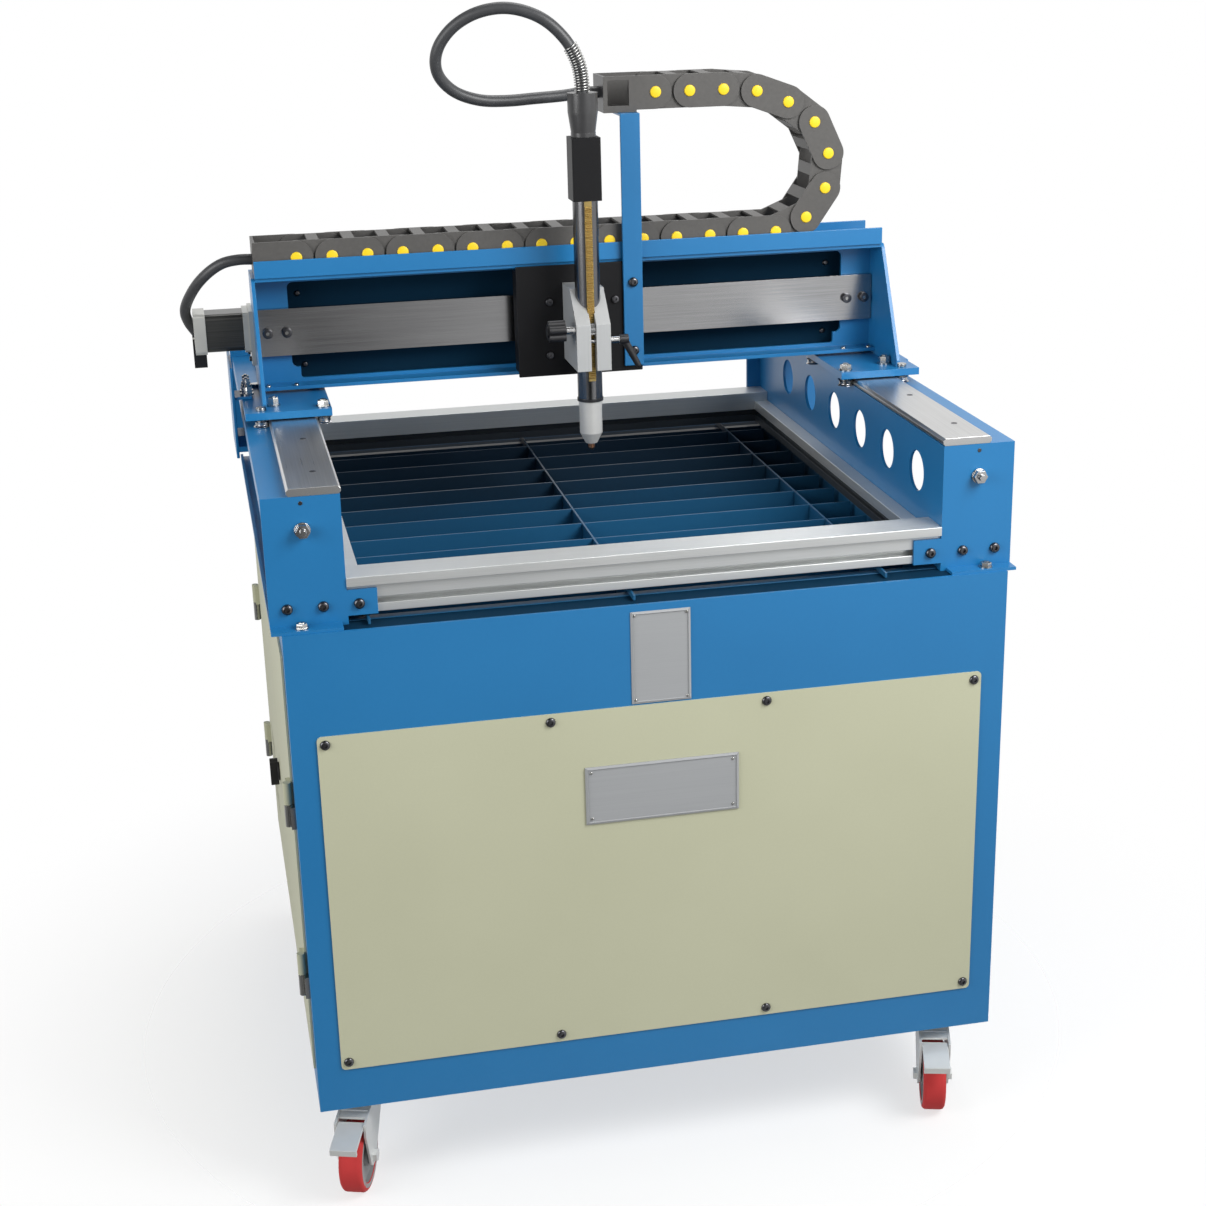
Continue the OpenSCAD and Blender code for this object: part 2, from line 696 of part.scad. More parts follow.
// End plates of the gantry, standing on the feet
module gantry_end_plates() color(blue) {
    difference() {
        both_sides() slab_x(end_in, end_out) polygon([
            [gan_y + 12, z_foot1], [gan_y + 12, z_foot1 + 10], [y_flange - 2, z_gan - 6],
            [y_flange + 4, z_gan], [y_back + gan_t, z_gan], [gan_y + foot_l - 8, z_foot1 + 10],
            [gan_y + foot_l - 8, z_foot1]
        ]);
        rod_x(y_xs, z_xs, 6 + fit, -end_out - 1, end_out + 1);
        both_sides() for (y = [roll_yf, roll_yr]) rod_z(roll_out, y, 8, z_foot1 - 1, z_foot1 + 7.5);
    }
}

// Foot plates over the guide bars
module gantry_feet() color(blue) {
    both_sides() difference() {
        box([foot_in, gan_y, z_foot0], [foot_out, gan_y + foot_l, z_foot1]);
        for (x = [roll_in, roll_out]) for (y = [roll_yf, roll_yr])
            rod_z(x, y, axle_r + fit, z_foot0 - 1, z_foot1 + 1);
    }
}

// Brackets that reach round the beams to the Y nuts; the left one stands up beside its foot
module drive_brackets() color(blue) {
    drive_bracket(z_foot0 + reach_t, z_foot0, 0);
    mirror([1, 0, 0]) drive_bracket(z_foot1 + 46, z_foot1, 14);
}

// One bracket: top of its plate, underside of the tab to the foot, and how far the tab lies on the foot
module drive_bracket(z_top, z_lug, on_foot) {
    difference() {
        union() {
            box([reach_x, reach_y0, ys_z - 18], [reach_x + reach_t, reach_y1, z_top]);
            box([foot_out - on_foot, reach_y0 + 4, z_lug], [reach_x + 1, reach_y0 + 50, z_lug + reach_t]);
            box([ys_x, ynut_y, ys_z - 8], [reach_x + 1, ynut_y + ynut_l, ys_z + 8]);
            rod_y(ys_x, ys_z, screw_d / 2 + 8, ynut_y, ynut_y + ynut_l);
        }
        rod_y(ys_x, ys_z, screw_d / 2 + fit + 0.04, ynut_y - 1, ynut_y + ynut_l + 1);
    }
}

// Folded tray that carries the lower run of the chain
module chain_tray() color(blue) {
    box([-end_in, tray_y0, z_gan], [end_in, tray_y1, z_gan + lip_t]);
    box([-end_in, tray_y0, z_gan], [end_in, tray_y0 + lip_t, z_gan + lip_h]);
    box([-end_in, tray_y1 - lip_t, z_gan], [end_in, tray_y1, z_gan + lip_h]);
}

// X guide bar on the web
module x_guide_bar() color(steel) {
    difference() {
        box([-end_in + 1, y_xbar, z_xbar - xbar_h / 2], [end_in - 1, y_web, z_xbar + xbar_h / 2]);
        for (s = [-1, 1]) for (x = xbolts) rod_y(s * x, z_xbar, 3.1, y_xbar - 1, y_web + 1);
    }
}

// X motor with its plate and the connector of its lead
module x_motor() color(black) {
    translate([mot_x, y_xs, z_xs]) rotate([0, -90, 0]) stepper(5.9);
    difference() {
        box([mot_x + 0.1, y_xs - 34, z_xs - 46], [-end_out, y_xs + 34, z_xs + 30]);
        rod_x(y_xs, z_xs, 19.05 + 0.2, mot_x - 1, -end_out + 1);
    }
    translate([con_x, 0, 0]) difference() {
        slab_x(-9, 9) rrect([y_xs + motor_w / 2 - 1, z_xs - 58], [con_y + 10, z_xs - 12], 4);
        box([-10, y_xs, z_xs - 58 - 1], [10, y_xs + motor_w / 2 - 1 + eps, z_xs]);
    }
}

// Shoulder bolts of the rollers and bolts of the X bar
module gantry_bolts() color(zinc) {
    both_sides() for (x = [roll_in, roll_out]) for (y = [roll_yf, roll_yr]) {
        rod_z(x, y, 7, z_foot1, z_foot1 + 4.6);
        rod_z(x, y, axle_r, z_gmid - roll_h + 0.2, z_foot1 + 1);
        rod_z(x, y, 6, z_gmid + roll_h + 0.3, z_foot0);
        rod_z(x, y, 5.8, z_gmid - roll_h + 0.1, z_gmid - roll_h + 1.0);
    }
    for (s = [-1, 1]) for (x = xbolts) {
        rod_y(s * x, z_xbar, 5, y_xbar - 5, y_xbar);
        rod_y(s * x, z_xbar, 3, y_xbar - 1, y_web + gan_t + 3);
    }
}

// V roller on its axis
module roller(x, y) color(steel) {
    k = glide * (sqrt(2) - 1);
    lip = root_r + roll_h - (bar_t / 2 - bar_v + k);
    translate([x, y, z_gmid]) rotate_extrude() polygon([
        [axle_r + fit, roll_h], [lip, roll_h],
        [root_r, bar_t / 2 - bar_v + k], [root_r, -bar_t / 2 + bar_v - k],
        [lip, -roll_h], [6.2, -roll_h], [6.2, -roll_h + 1.3], [axle_r + fit, -roll_h + 1.3]
    ]);
}

module roller_lfi() roller(-roll_in, roll_yf);
module roller_lfo() roller(-roll_out, roll_yf);
module roller_lri() roller(-roll_in, roll_yr);
module roller_lro() roller(-roll_out, roll_yr);
module roller_rfi() roller(roll_in, roll_yf);
module roller_rfo() roller(roll_out, roll_yf);
module roller_rri() roller(roll_in, roll_yr);
module roller_rro() roller(roll_out, roll_yr);

// X drive screw behind the window
module x_screw() color(steel) {
    rod_x(y_xs, z_xs, screw_d / 2, -end_in + 1, end_in - 1);
    rod_x(y_xs, z_xs, 6, -end_out, end_out + 4);
    rod_x(y_xs, z_xs, 4, mot_x - 22, -end_out + 1);
}

// Y drive screw with its lock nut outside the front plate
module y_screw_shape() {
    rod_y(ys_x, ys_z, screw_d / 2, yb0 + 1, yb1 - 2);
    rod_y(ys_x, ys_z, 6, yb0 - plate_t - 8, yb0 + 2);
    rod_y(ys_x, ys_z, 10, yb0 - plate_t - 2.5, yb0 - plate_t - 0.3);
    hex_y(ys_x, ys_z, 16, yb0 - plate_t - 10, yb0 - plate_t - 2.4);
    rod_y(ys_x, ys_z, 4, yb0 - plate_t - 16, yb0 - plate_t - 9);
    rod_y(ys_x, ys_z, 4, yb1 - 3, yb1 + rear_t + 22);
}

module right_y_screw() color(steel) {
    y_screw_shape();
}

module left_y_screw() color(steel) {
    mirror([1, 0, 0]) y_screw_shape();
}

// Black cover plate of the carriage
module carriage_plate() color(black) {
    box([-car_x, car_y, z_car0], [car_x, car_y + car_t, z_car1]);
    both_sides() box([car_x - 3, car_y + car_t - eps, z_car0 + 6], [car_x, car_y + 30, z_car1 - 7]);
}

// Saddle that wraps the X bar and holds the nut of the X screw
module carriage_saddle() color(alu) {
    z0 = z_xbar - xbar_h / 2;
    z1 = z_xbar + xbar_h / 2;
    difference() {
        union() {
            box([-sad_x, car_y + car_t, z0 - 12], [sad_x, y_web + glide + 5, z1 + 12]);
            box([-22, y_web + glide + 4, z_xs - 9], [22, y_xs, z_xs + 9]);
            rod_x(y_xs, z_xs, nut_r, -22, 22);
        }
        box([-sad_x - 1, y_xbar - glide, z0 - glide], [sad_x + 1, y_web + glide, z1 + glide]);
        rod_x(y_xs, z_xs, screw_d / 2 + fit + 0.04, -23, 23);
    }
}

// Upright bracket from the carriage to the chain end
module chain_bracket() color(blue) {
    box([arm_x0, car_y - arm_t, z_car0 + 8], [arm_x1, car_y, z_ledge]);
    box([arm_x0, car_y - arm_t, z_ledge - 4], [arm_x1, chain_y + link_w / 2, z_ledge]);
}

// Split holder that clamps round the torch barrel
module torch_holder() color(alu) {
    difference() {
        slab_x(-holder_w / 2, holder_w / 2) polygon([
            [car_y, hold_z0], [hold_front, hold_z0], [hold_front, hold_z1 - hold_cham],
            [hold_front + hold_cham, hold_z1], [car_y, hold_z1]
        ]);
        rod_z(0, torch_y, torch_r + fit, hold_z0 - 1, hold_z1 + 1);
        box([-rack_w / 2 - glide, rack_tip_y - 0.8, hold_z0 - 1], [rack_w / 2 + glide, torch_y, hold_z1 + 1]);
        box([-slit_w / 2, hold_front - 1, hold_z0 - 1], [slit_w / 2, torch_y, hold_z1 + 1]);
        rod_x(pin_y, pin_z, pin_shaft_r + fit, -holder_w / 2 - 1, holder_w / 2 + 1);
        rod_x(pin_y, lev_z, pin_shaft_r + fit, -holder_w / 2 - 1, holder_w / 2 + 1);
    }
}

// Clamp lever with its screw
module clamp_lever() color(black) {
    rod_x(pin_y, lev_z, pin_shaft_r, -holder_w / 2 + 2, holder_w / 2 + 2);
    rod_x(pin_y, lev_z, 5, holder_w / 2 + 0.3, holder_w / 2 + 18);
    rod_x(pin_y, lev_z, 7, holder_w / 2 + 14, holder_w / 2 + 26);
    translate([holder_w / 2 + 20, pin_y, lev_z]) rotate([0, 152, 0]) {
        cylinder(r1 = 5.5, r2 = 4.2, h = 42);
        translate([0, 0, 42]) sphere(4.2);
    }
}

// Involute of the pinion flank, seen from the base circle
pressure = 20;
base_r = pinion_r * cos(pressure);
tip_r = pinion_r + 0.8 * mod;
foot_r = pinion_r - 1.2 * mod;
function inv_angle(r) = let (a = acos(min(1, base_r / r))) tan(a) * 180 / PI - a;
half_tooth = 90 / pinion_n - 3.2;
function flank(r) = half_tooth + inv_angle(pinion_r) - inv_angle(r);
flank_r = [for (k = [0:5]) max(base_r, foot_r) + (tip_r - max(base_r, foot_r)) * k / 5];
function polar(r, a) = [r * cos(a), r * sin(a)];
pinion_pts = [for (t = [0:pinion_n - 1]) let (m = 360 * t / pinion_n) each concat(
    [polar(foot_r, m - flank(flank_r[0]) - 1)],
    [for (r = flank_r) polar(r, m - flank(r))],
    [for (k = [5:-1:0]) polar(flank_r[k], m + flank(flank_r[k]))],
    [polar(foot_r, m + flank(flank_r[0]) + 1)])];

// Star knob with shaft and pinion
module height_knob() color(black) {
    x0 = -holder_w / 2;
    rod_x(pin_y, pin_z, pin_shaft_r, x0 - 20, holder_w / 2 - 2);
    rod_x(pin_y, pin_z, 5.5, x0 - 15, x0 - 0.3);
    translate([-slit_w / 2 + 0.5, pin_y, pin_z]) rotate([90, 0, 90])
        linear_extrude(slit_w - 1) polygon(pinion_pts);
    translate([x0 - 38, pin_y, pin_z]) rotate([90, 0, 90]) {
        linear_extrude(23.5) {
            circle(10.5);
            for (k = [0:4]) rotate(72 * k + 18) translate([9.5, 0]) circle(5.6);
        }
        translate([0, 0, -2]) cylinder(r = 8, h = 3);
    }
}

// Torch barrel with the milled seat of the rack and a lower stub
module torch_barrel() color(zinc) {
    difference() {
        union() {
            rod_z(0, torch_y, torch_r, z_barrel0, z_block0);
            rod_z(0, torch_y, 14, z_block0 - 1, z_block1 - 8);
            rod_z(0, torch_y, 12, z_barrel0 - 35, z_barrel0 + 1);
        }
        box([-rack_w / 2 - 0.1, torch_y - 30, rack_z0 - 0.1], [rack_w / 2 + 0.1, rack_seat, z_block0 + 1]);
        rod_z(0, torch_y, 5 + fit, z_barrel0 - 36, z_barrel0 - 10);
    }
}

// Rack strip set into the barrel, one tooth gap on the pinion axis height
rack_pitch = PI * mod;
module torch_rack() color(brass) {
    teeth_lo = ceil((rack_z0 + 2 - pin_z) / rack_pitch);
    teeth_hi = floor((z_block0 - 6 - pin_z) / rack_pitch) - 1;
    root_y = rack_pitch_y + 1.2;
    slab_x(-rack_w / 2, rack_w / 2) {
        translate([root_y, rack_z0]) square([rack_seat - root_y, z_block0 - 0.1 - rack_z0]);
        for (t = [teeth_lo:teeth_hi]) translate([0, pin_z + (t + 0.5) * rack_pitch]) polygon([
            [root_y + 0.1, -1.02], [root_y, -1.02], [rack_tip_y, -0.26], [rack_tip_y, 0.26], [root_y, 1.02],
            [root_y + 0.1, 1.02]
        ]);
    }
}

// Black block and grey collar on top of the torch
module torch_cap() color(black) {
    difference() {
        translate([0, torch_y, z_block0]) linear_extrude(z_block1 - z_block0) rrect([-20, -20], [20, 20], 2);
        rod_z(0, torch_y, 14 + fit, z_block0 - 1, z_block1 - 8);
    }
    rod_z(0, torch_y, 17, z_block1 + 0.15, z_block1 + 6);
    translate([0, torch_y, z_block1 + 5]) cylinder(r1 = 16.5, r2 = collar_r, h = collar_h);
    rod_z(0, torch_y, collar_r, z_block1 + 5 + collar_h - eps, z_collar);
}

// Shield cup screwed over the barrel's stub
module shield_cup() color(zinc) {
    difference() {
        union() {
            rod_z(0, torch_y, 16.5, z_cup1 - 8, z_cup1);
            rod_z(0, torch_y, 16, z_cup0 + 15, z_cup1 - 7);
            translate([0, torch_y, z_cup0]) cylinder(r1 = 8.5, r2 = 16, h = 15 + eps);
        }
        rod_z(0, torch_y, 12 + fit, z_barrel0 - 35.2, z_cup1 + 1);
        rod_z(0, torch_y, 5.2, z_cup0 - 1, z_cup1);
    }
}

// Copper nozzle in the cup
module nozzle() color(copper) {
    difference() {
        union() {
            rod_z(0, torch_y, 5, z_nozzle + 3, z_barrel0 - 11);
            translate([0, torch_y, z_nozzle]) cylinder(r1 = 3, r2 = 5, h = 3 + eps);
        }
        rod_z(0, torch_y, 0.8, z_nozzle - 1, z_nozzle + 20);
    }
}

// Strain spring round the first stretch of the hose
hose_line = route(hose_pts, 4);
wire_r = wire_d / 2;
coil_r = hose_r + 0.6 + wire_r;
coil_steps = 8;
spring_len = 64;
function arc_at(p, i) = i <= 0 ? 0 : arc_at(p, i - 1) + norm(p[i] - p[i - 1]);
fine = route([for (i = [0:4]) hose_pts[i]], 16);
fine_s = [for (i = [0:len(fine) - 1]) arc_at(fine, i)];
fine_u = frames(fine, 0, [1, 0, 0], []);
function seek(s, i) = i >= len(fine) - 2 || fine_s[i + 1] >= s ? i : seek(s, i + 1);
function mix(a, b, t) = a + (b - a) * t;
function coil_pt(s, a) =
    let (i = seek(s, 0), t = (s - fine_s[i]) / (fine_s[i + 1] - fine_s[i]), c = mix(fine[i], fine[i + 1], t),
         d = unit(mix(dir_at(fine, i), dir_at(fine, i + 1), t)),
         u = turn_frame(mix(fine_u[i], fine_u[i + 1], t), d))
    c + coil_r * cos(a) * u + coil_r * sin(a) * cross(d, u);
coil_n = spring_n * coil_steps;
coil = [for (k = [0:coil_n])
    coil_pt(wire_r + 0.1 + (spring_len - wire_d) * k / coil_n, 360 * k / coil_steps)];
coil_end0 = coil[0] - wire_d * unit(coil[1] - coil[0]);
coil_end1 = coil[coil_n] + wire_d * unit(coil[coil_n] - coil[coil_n - 1]);
coil_line = concat([coil_end0], coil, [coil_end1]);
coil_gap = min([for (i = [0:len(coil) - 1])
    for (j = [i + coil_steps - 2:min(i + coil_steps + 2, len(coil) - 1)])
    if (j > i) norm(coil[i] - coil[j])]) - wire_d;
echo(spring_gap = coil_gap);

module strain_spring() color(zinc) {
    last = len(coil_line) - 1;
    start = unit(coil_line[1] - coil_line[0]);
    tube(coil_line, wire_r, 6, [0, 0, 1], start, unit(coil_line[last] - coil_line[last - 1]));
}

module torch_hose() color(black) {
    tube(hose_line, hose_r, 12, [1, 0, 0], [0, 0, 1], [1, 0, 0]);
}

module motor_cable() color(black) {
    tube(route(lead_pts, 4), lead_d / 2, 12, [0, 1, 0], [-1, 0, 0], [0, 0, -1]);
}

// One chain link between two pins; wide links lie outside, narrow ones carry the bosses
module link(i) {
    p = pin_at(i);
    wide = i % 2 == 1;
    y1 = wide ? link_w / 2 : link_w / 2 - link_t - 0.5;
    translate([p[0], chain_y, p[1]]) rotate([0, -seg_dir(i), 0]) {
        difference() {
            for (s = [-1, 1]) link_plate(s < 0 ? -y1 : y1 - link_t, link_p);
            if (wide) for (x = [0, link_p]) rod_y(x, 0, 6.4, -link_w, link_w);
        }
        for (z = [-link_r, link_r - 3]) box([link_p / 2 - 8, -y1, z], [link_p / 2 + 8, y1, z + 3]);
        if (!wide) for (x = [0, link_p]) for (s = [0, 1]) mirror([0, s, 0])
            rod_y(x, 0, 6, y1 - 1, link_w / 2 + 1.5);
    }
}

// Side plate of a link with round ends
module link_plate(y0, len) {
    slab_y(y0, y0 + link_t) {
        circle(link_r);
        translate([len, 0]) circle(link_r);
        translate([0, -link_r]) square([len, 2 * link_r]);
    }
}

// Fixed end of the chain at the left of its tray, and the links up to the middle of the bend
module chain_lower_run() color(grey) {
    for (i = [0:split - 1]) link(i);
    difference() {
        union() {
            for (y = [-link_w / 2, link_w / 2 - link_t]) translate([-end_in + 2, chain_y, chain_z])
                slab_y(y, y + link_t) {
                    translate([chain_x0 + end_in - 2, 0]) circle(link_r);
                    translate([0, -link_r]) square([chain_x0 + end_in - 2, 2 * link_r]);
                }
            box([-end_in + 2, chain_y - link_w / 2, z_gan + lip_t],
                [chain_x0 - link_r - 2, chain_y + link_w / 2, chain_z - link_r + 2]);
            box([-end_in, chain_y - link_w / 2, z_gan + lip_t],
                [-end_in + 4, chain_y + link_w / 2, chain_z + link_r]);
        }
        rod_y(chain_x0, chain_z, 6.4, 0, 2 * link_w);
    }
}

// Links of the upper run and the moving end on the bracket
module chain_upper_run() color(grey) {
    for (i = [split:pin_count - 2]) link(i);
    p = pin_at(pin_count - 1);
    difference() {
        union() {
            for (y = [-link_w / 2, link_w / 2 - link_t]) translate([conn_x0, chain_y, p[1]])
                slab_y(y, y + link_t) {
                    translate([p[0] - conn_x0, 0]) circle(link_r);
                    translate([0, -link_r]) square([p[0] - conn_x0, 2 * link_r]);
                }
            box([conn_x0, chain_y - link_w / 2, z_ledge],
                [conn_x1 - 4, chain_y + link_w / 2, p[1] - link_r + 2]);
            box([conn_x0, chain_y - link_w / 2, z_ledge], [conn_x0 + 4, chain_y + link_w / 2, p[1] + link_r]);
        }
        rod_y(p[0], p[1], 6.4, 0, 2 * link_w);
        box([conn_x0 + 6, chain_y - link_w / 2 - 1, p[1] - 17],
            [conn_x0 + 36, chain_y - link_w / 2 + link_t + 1, p[1] + 17]);
    }
}

// Swivel of each caster: position and the way its wheel trails
caster_fl = [-hx + caster_in, -hy + caster_back, -19];
caster_fr = [hx - caster_in, -hy + caster_back, -16];
caster_rl = [-hx + caster_in, hy - caster_back, 160];
caster_rr = [hx - caster_in, hy - caster_back, 195];
wheel_r = wheel_d / 2;
leg_x = wheel_w / 2 + 2.5;
leg_t = 3;
z_crown = z_cab0 - 17;
ped_y = -trail - 24;
ped_z = z_crown - 13;
hood_y = -trail - 17;

module at_caster(c) {
    translate([c[0], c[1], 0]) rotate(c[2]) children();
}

// Fork with kingpin, axle and, on braked casters, a hood and the pedal pin
module fork(c, brake) color(zinc) at_caster(c) {
    rod_z(0, 0, 7, z_crown, z_cab0 - 0.5);
    rod_z(0, 0, 30, z_crown, z_cab0 - 9.2);
    box([-leg_x - leg_t, -30, z_crown], [leg_x + leg_t, 26, z_crown + 4]);
    both_sides() slab_x(leg_x, leg_x + leg_t) polygon([
        [26, z_crown + 4], [26, z_crown - 8], [-trail + 14, wheel_r - 6], [-trail + 6, wheel_r - 13],
        [-trail - 6, wheel_r - 13], [-trail - 14, wheel_r - 6], [brake ? ped_y - 8 : -trail - 12, ped_z - 10],
        [brake ? ped_y - 8 : -34, ped_z + 8], [-30, z_crown + 4]
    ]);
    rod_x(-trail, wheel_r, 5, -leg_x - 7, leg_x + 7);
    for (s = [0, 1]) mirror([s, 0, 0]) translate([leg_x + leg_t, -trail, wheel_r]) rotate([0, 90, 0])
        cylinder(r = 9, h = 5.5, $fn = 6);
    if (brake) {
        rod_x(ped_y, ped_z, 3, -leg_x - 2, leg_x + 2);
        slab_x(-leg_x - 1, leg_x + 1) polygon([
            [-28, z_crown], [-28, z_crown + 3], [hood_y, z_crown - 3], [hood_y, z_crown - 6]
        ]);
        rod_x(hood_y + 14, z_crown - 1, 2, -leg_x - 1, leg_x + 1);
    }
}

module fork_fl() fork(caster_fl, true);
module fork_fr() fork(caster_fr, true);
module fork_rl() fork(caster_rl, false);
module fork_rr() fork(caster_rr, false);

// Wheel with a rounded tread and a recessed hub
module wheel(c) color(red) at_caster(c) {
    translate([0, -trail, wheel_r]) rotate([0, 90, 0]) rotate_extrude($fn = 72) difference() {
        union() {
            rrect([20, -wheel_w / 2], [wheel_r, wheel_w / 2], 6);
            translate([5 + fit, -wheel_w / 2]) square([20, wheel_w]);
        }
        translate([15, wheel_w / 2 - 7]) square([wheel_r * 0.44, 8]);
        translate([15, -wheel_w / 2 - 1]) square([wheel_r * 0.44, 8]);
    }
}

module wheel_fl() wheel(caster_fl);
module wheel_fr() wheel(caster_fr);
module wheel_rl() wheel(caster_rl);
module wheel_rr() wheel(caster_rr);

// Brake pedal on a front caster
module pedal(c) color(zinc) at_caster(c) {
    translate([0, ped_y, ped_z]) rotate([12, 0, 0]) difference() {
        union() {
            slab_x(-leg_x + 0.5, leg_x - 0.5) {
                circle(6);
                translate([-46, 2]) square([46, 4]);
                translate([-50, -4]) square([4.5, 10]);
            }
        }
        rod_x(0, 0, 3 + fit, -leg_x, leg_x);
    }
}

module pedal_fl() pedal(caster_fl);
module pedal_fr() pedal(caster_fr);

cabinet_shell();
front_panel();
table_screws();
slag_tray();
slat_grid();
bed_rails();
left_beam();
right_beam();
guide_bars();
y_motors();
caster_plates();
control_box();
front_door();
rear_door();
door_latch();
gantry_beam();
gantry_end_plates();
gantry_feet();
drive_brackets();
chain_tray();
x_guide_bar();
x_motor();
gantry_bolts();
chain_lower_run();
motor_cable();
roller_lfi();
roller_lfo();
roller_lri();
roller_lro();
roller_rfi();
roller_rfo();
roller_rri();
roller_rro();
x_screw();
left_y_screw();
right_y_screw();
carriage_plate();
carriage_saddle();
chain_bracket();
chain_upper_run();
torch_holder();
clamp_lever();
height_knob();
torch_barrel();
torch_rack();
torch_cap();
shield_cup();
nozzle();
strain_spring();
torch_hose();
fork_fl();
fork_fr();
fork_rl();
fork_rr();
wheel_fl();
wheel_fr();
wheel_rl();
wheel_rr();
pedal_fl();
pedal_fr();
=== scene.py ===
"""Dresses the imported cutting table: finishes, rounded edges, cords, fasteners and the studio."""
import contextlib
import json
import logging
import math
from dataclasses import dataclass
from enum import Enum
from typing import Callable, Iterator, Optional, Sequence, Union

import bmesh
import bpy
from mathutils import Matrix, Vector

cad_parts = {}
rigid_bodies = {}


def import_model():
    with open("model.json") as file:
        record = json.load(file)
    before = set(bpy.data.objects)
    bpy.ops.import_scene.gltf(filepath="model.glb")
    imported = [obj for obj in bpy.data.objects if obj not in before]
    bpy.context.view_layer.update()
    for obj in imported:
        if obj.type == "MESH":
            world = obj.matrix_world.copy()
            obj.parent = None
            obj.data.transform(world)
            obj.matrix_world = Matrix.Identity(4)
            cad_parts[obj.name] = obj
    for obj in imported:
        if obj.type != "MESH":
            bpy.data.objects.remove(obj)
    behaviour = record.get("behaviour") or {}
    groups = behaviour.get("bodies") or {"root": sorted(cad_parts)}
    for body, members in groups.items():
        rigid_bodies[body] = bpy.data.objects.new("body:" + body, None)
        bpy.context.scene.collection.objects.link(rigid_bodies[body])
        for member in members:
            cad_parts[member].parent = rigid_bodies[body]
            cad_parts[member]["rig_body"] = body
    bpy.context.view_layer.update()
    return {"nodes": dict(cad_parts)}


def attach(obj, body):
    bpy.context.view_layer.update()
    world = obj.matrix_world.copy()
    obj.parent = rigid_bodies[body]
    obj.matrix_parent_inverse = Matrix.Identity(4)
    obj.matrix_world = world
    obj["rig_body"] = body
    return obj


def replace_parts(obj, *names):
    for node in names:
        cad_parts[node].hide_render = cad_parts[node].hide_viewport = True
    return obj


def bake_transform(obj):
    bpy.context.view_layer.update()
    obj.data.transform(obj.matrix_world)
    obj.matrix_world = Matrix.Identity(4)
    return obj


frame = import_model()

LOG = logging.getLogger("cutting_table")
MM = 0.001

Pair = tuple[float, float]
Point = tuple[float, float, float]
Row = tuple[float, ...]
Color = tuple[float, float, float]
Spot = tuple[Point, Point]
Piece = bpy.types.Object
Test = Callable[[Vector], bool]
Value = Union["Wire", float]

SIDES = (-1, 1)
FRONT: Point = (0.0, -1.0, 0.0)
BACK: Point = (0.0, 1.0, 0.0)
LEFT: Point = (-1.0, 0.0, 0.0)
UP: Point = (0.0, 0.0, 1.0)
DOWN: Point = (0.0, 0.0, -1.0)
WHITE = (1.0, 1.0, 1.0, 1.0)


class Grain(Enum):
    """Patterns that a finish can have."""

    PAINT = "smooth enamel"
    POWDER = "fine powder coat"
    GROUND_X = "ground along X"
    GROUND_Y = "ground along Y"
    GROUND_Z = "ground along Z"
    PLATED = "plated"
    MOULDED = "moulded"
    RUBBER = "rubber"


class Head(Enum):
    """Kinds of screw head."""

    SOCKET = "cylinder with a key hole"
    BUTTON = "dome with a key hole"
    HEX = "hexagon on a washer"
    SUNK = "flush cone with a key hole"
    RIVET = "low dome"


class Wire:
    """A shader socket that takes part in Python arithmetic."""

    def __init__(self, tree: bpy.types.NodeTree, socket: bpy.types.NodeSocket) -> None:
        """Keeps the node tree and the socket."""
        self.tree = tree
        self.socket = socket

    def _math(self, operation: str, first: Value, second: Value) -> "Wire":
        """Adds one Math node.

        Args:
            operation: the node's operation.
            first: the first value or wire.
            second: the second value or wire.

        Returns:
            The node's result.
        """
        node = self.tree.nodes.new("ShaderNodeMath")
        node.operation = operation
        for socket, value in zip(node.inputs, (first, second)):
            plug(socket, value)
        return Wire(self.tree, node.outputs[0])

    def __add__(self, other: Value) -> "Wire":
        """Sum."""
        return self._math("ADD", self, other)

    def __radd__(self, other: Value) -> "Wire":
        """Sum, from the right."""
        return self._math("ADD", other, self)

    def __sub__(self, other: Value) -> "Wire":
        """Difference."""
        return self._math("SUBTRACT", self, other)

    def __rsub__(self, other: Value) -> "Wire":
        """Difference, from the right."""
        return self._math("SUBTRACT", other, self)

    def __mul__(self, other: Value) -> "Wire":
        """Product."""
        return self._math("MULTIPLY", self, other)

    def __rmul__(self, other: Value) -> "Wire":
        """Product, from the right."""
        return self._math("MULTIPLY", other, self)


def plug(socket: bpy.types.NodeSocket, value: object) -> None:
    """Links a wire to an input, or sets the input to a value.

    Args:
        socket: the input.
        value: a wire, or a value that the input takes.
    """
    if isinstance(value, Wire):
        value.tree.links.new(value.socket, socket)
    else:
        socket.default_value = value


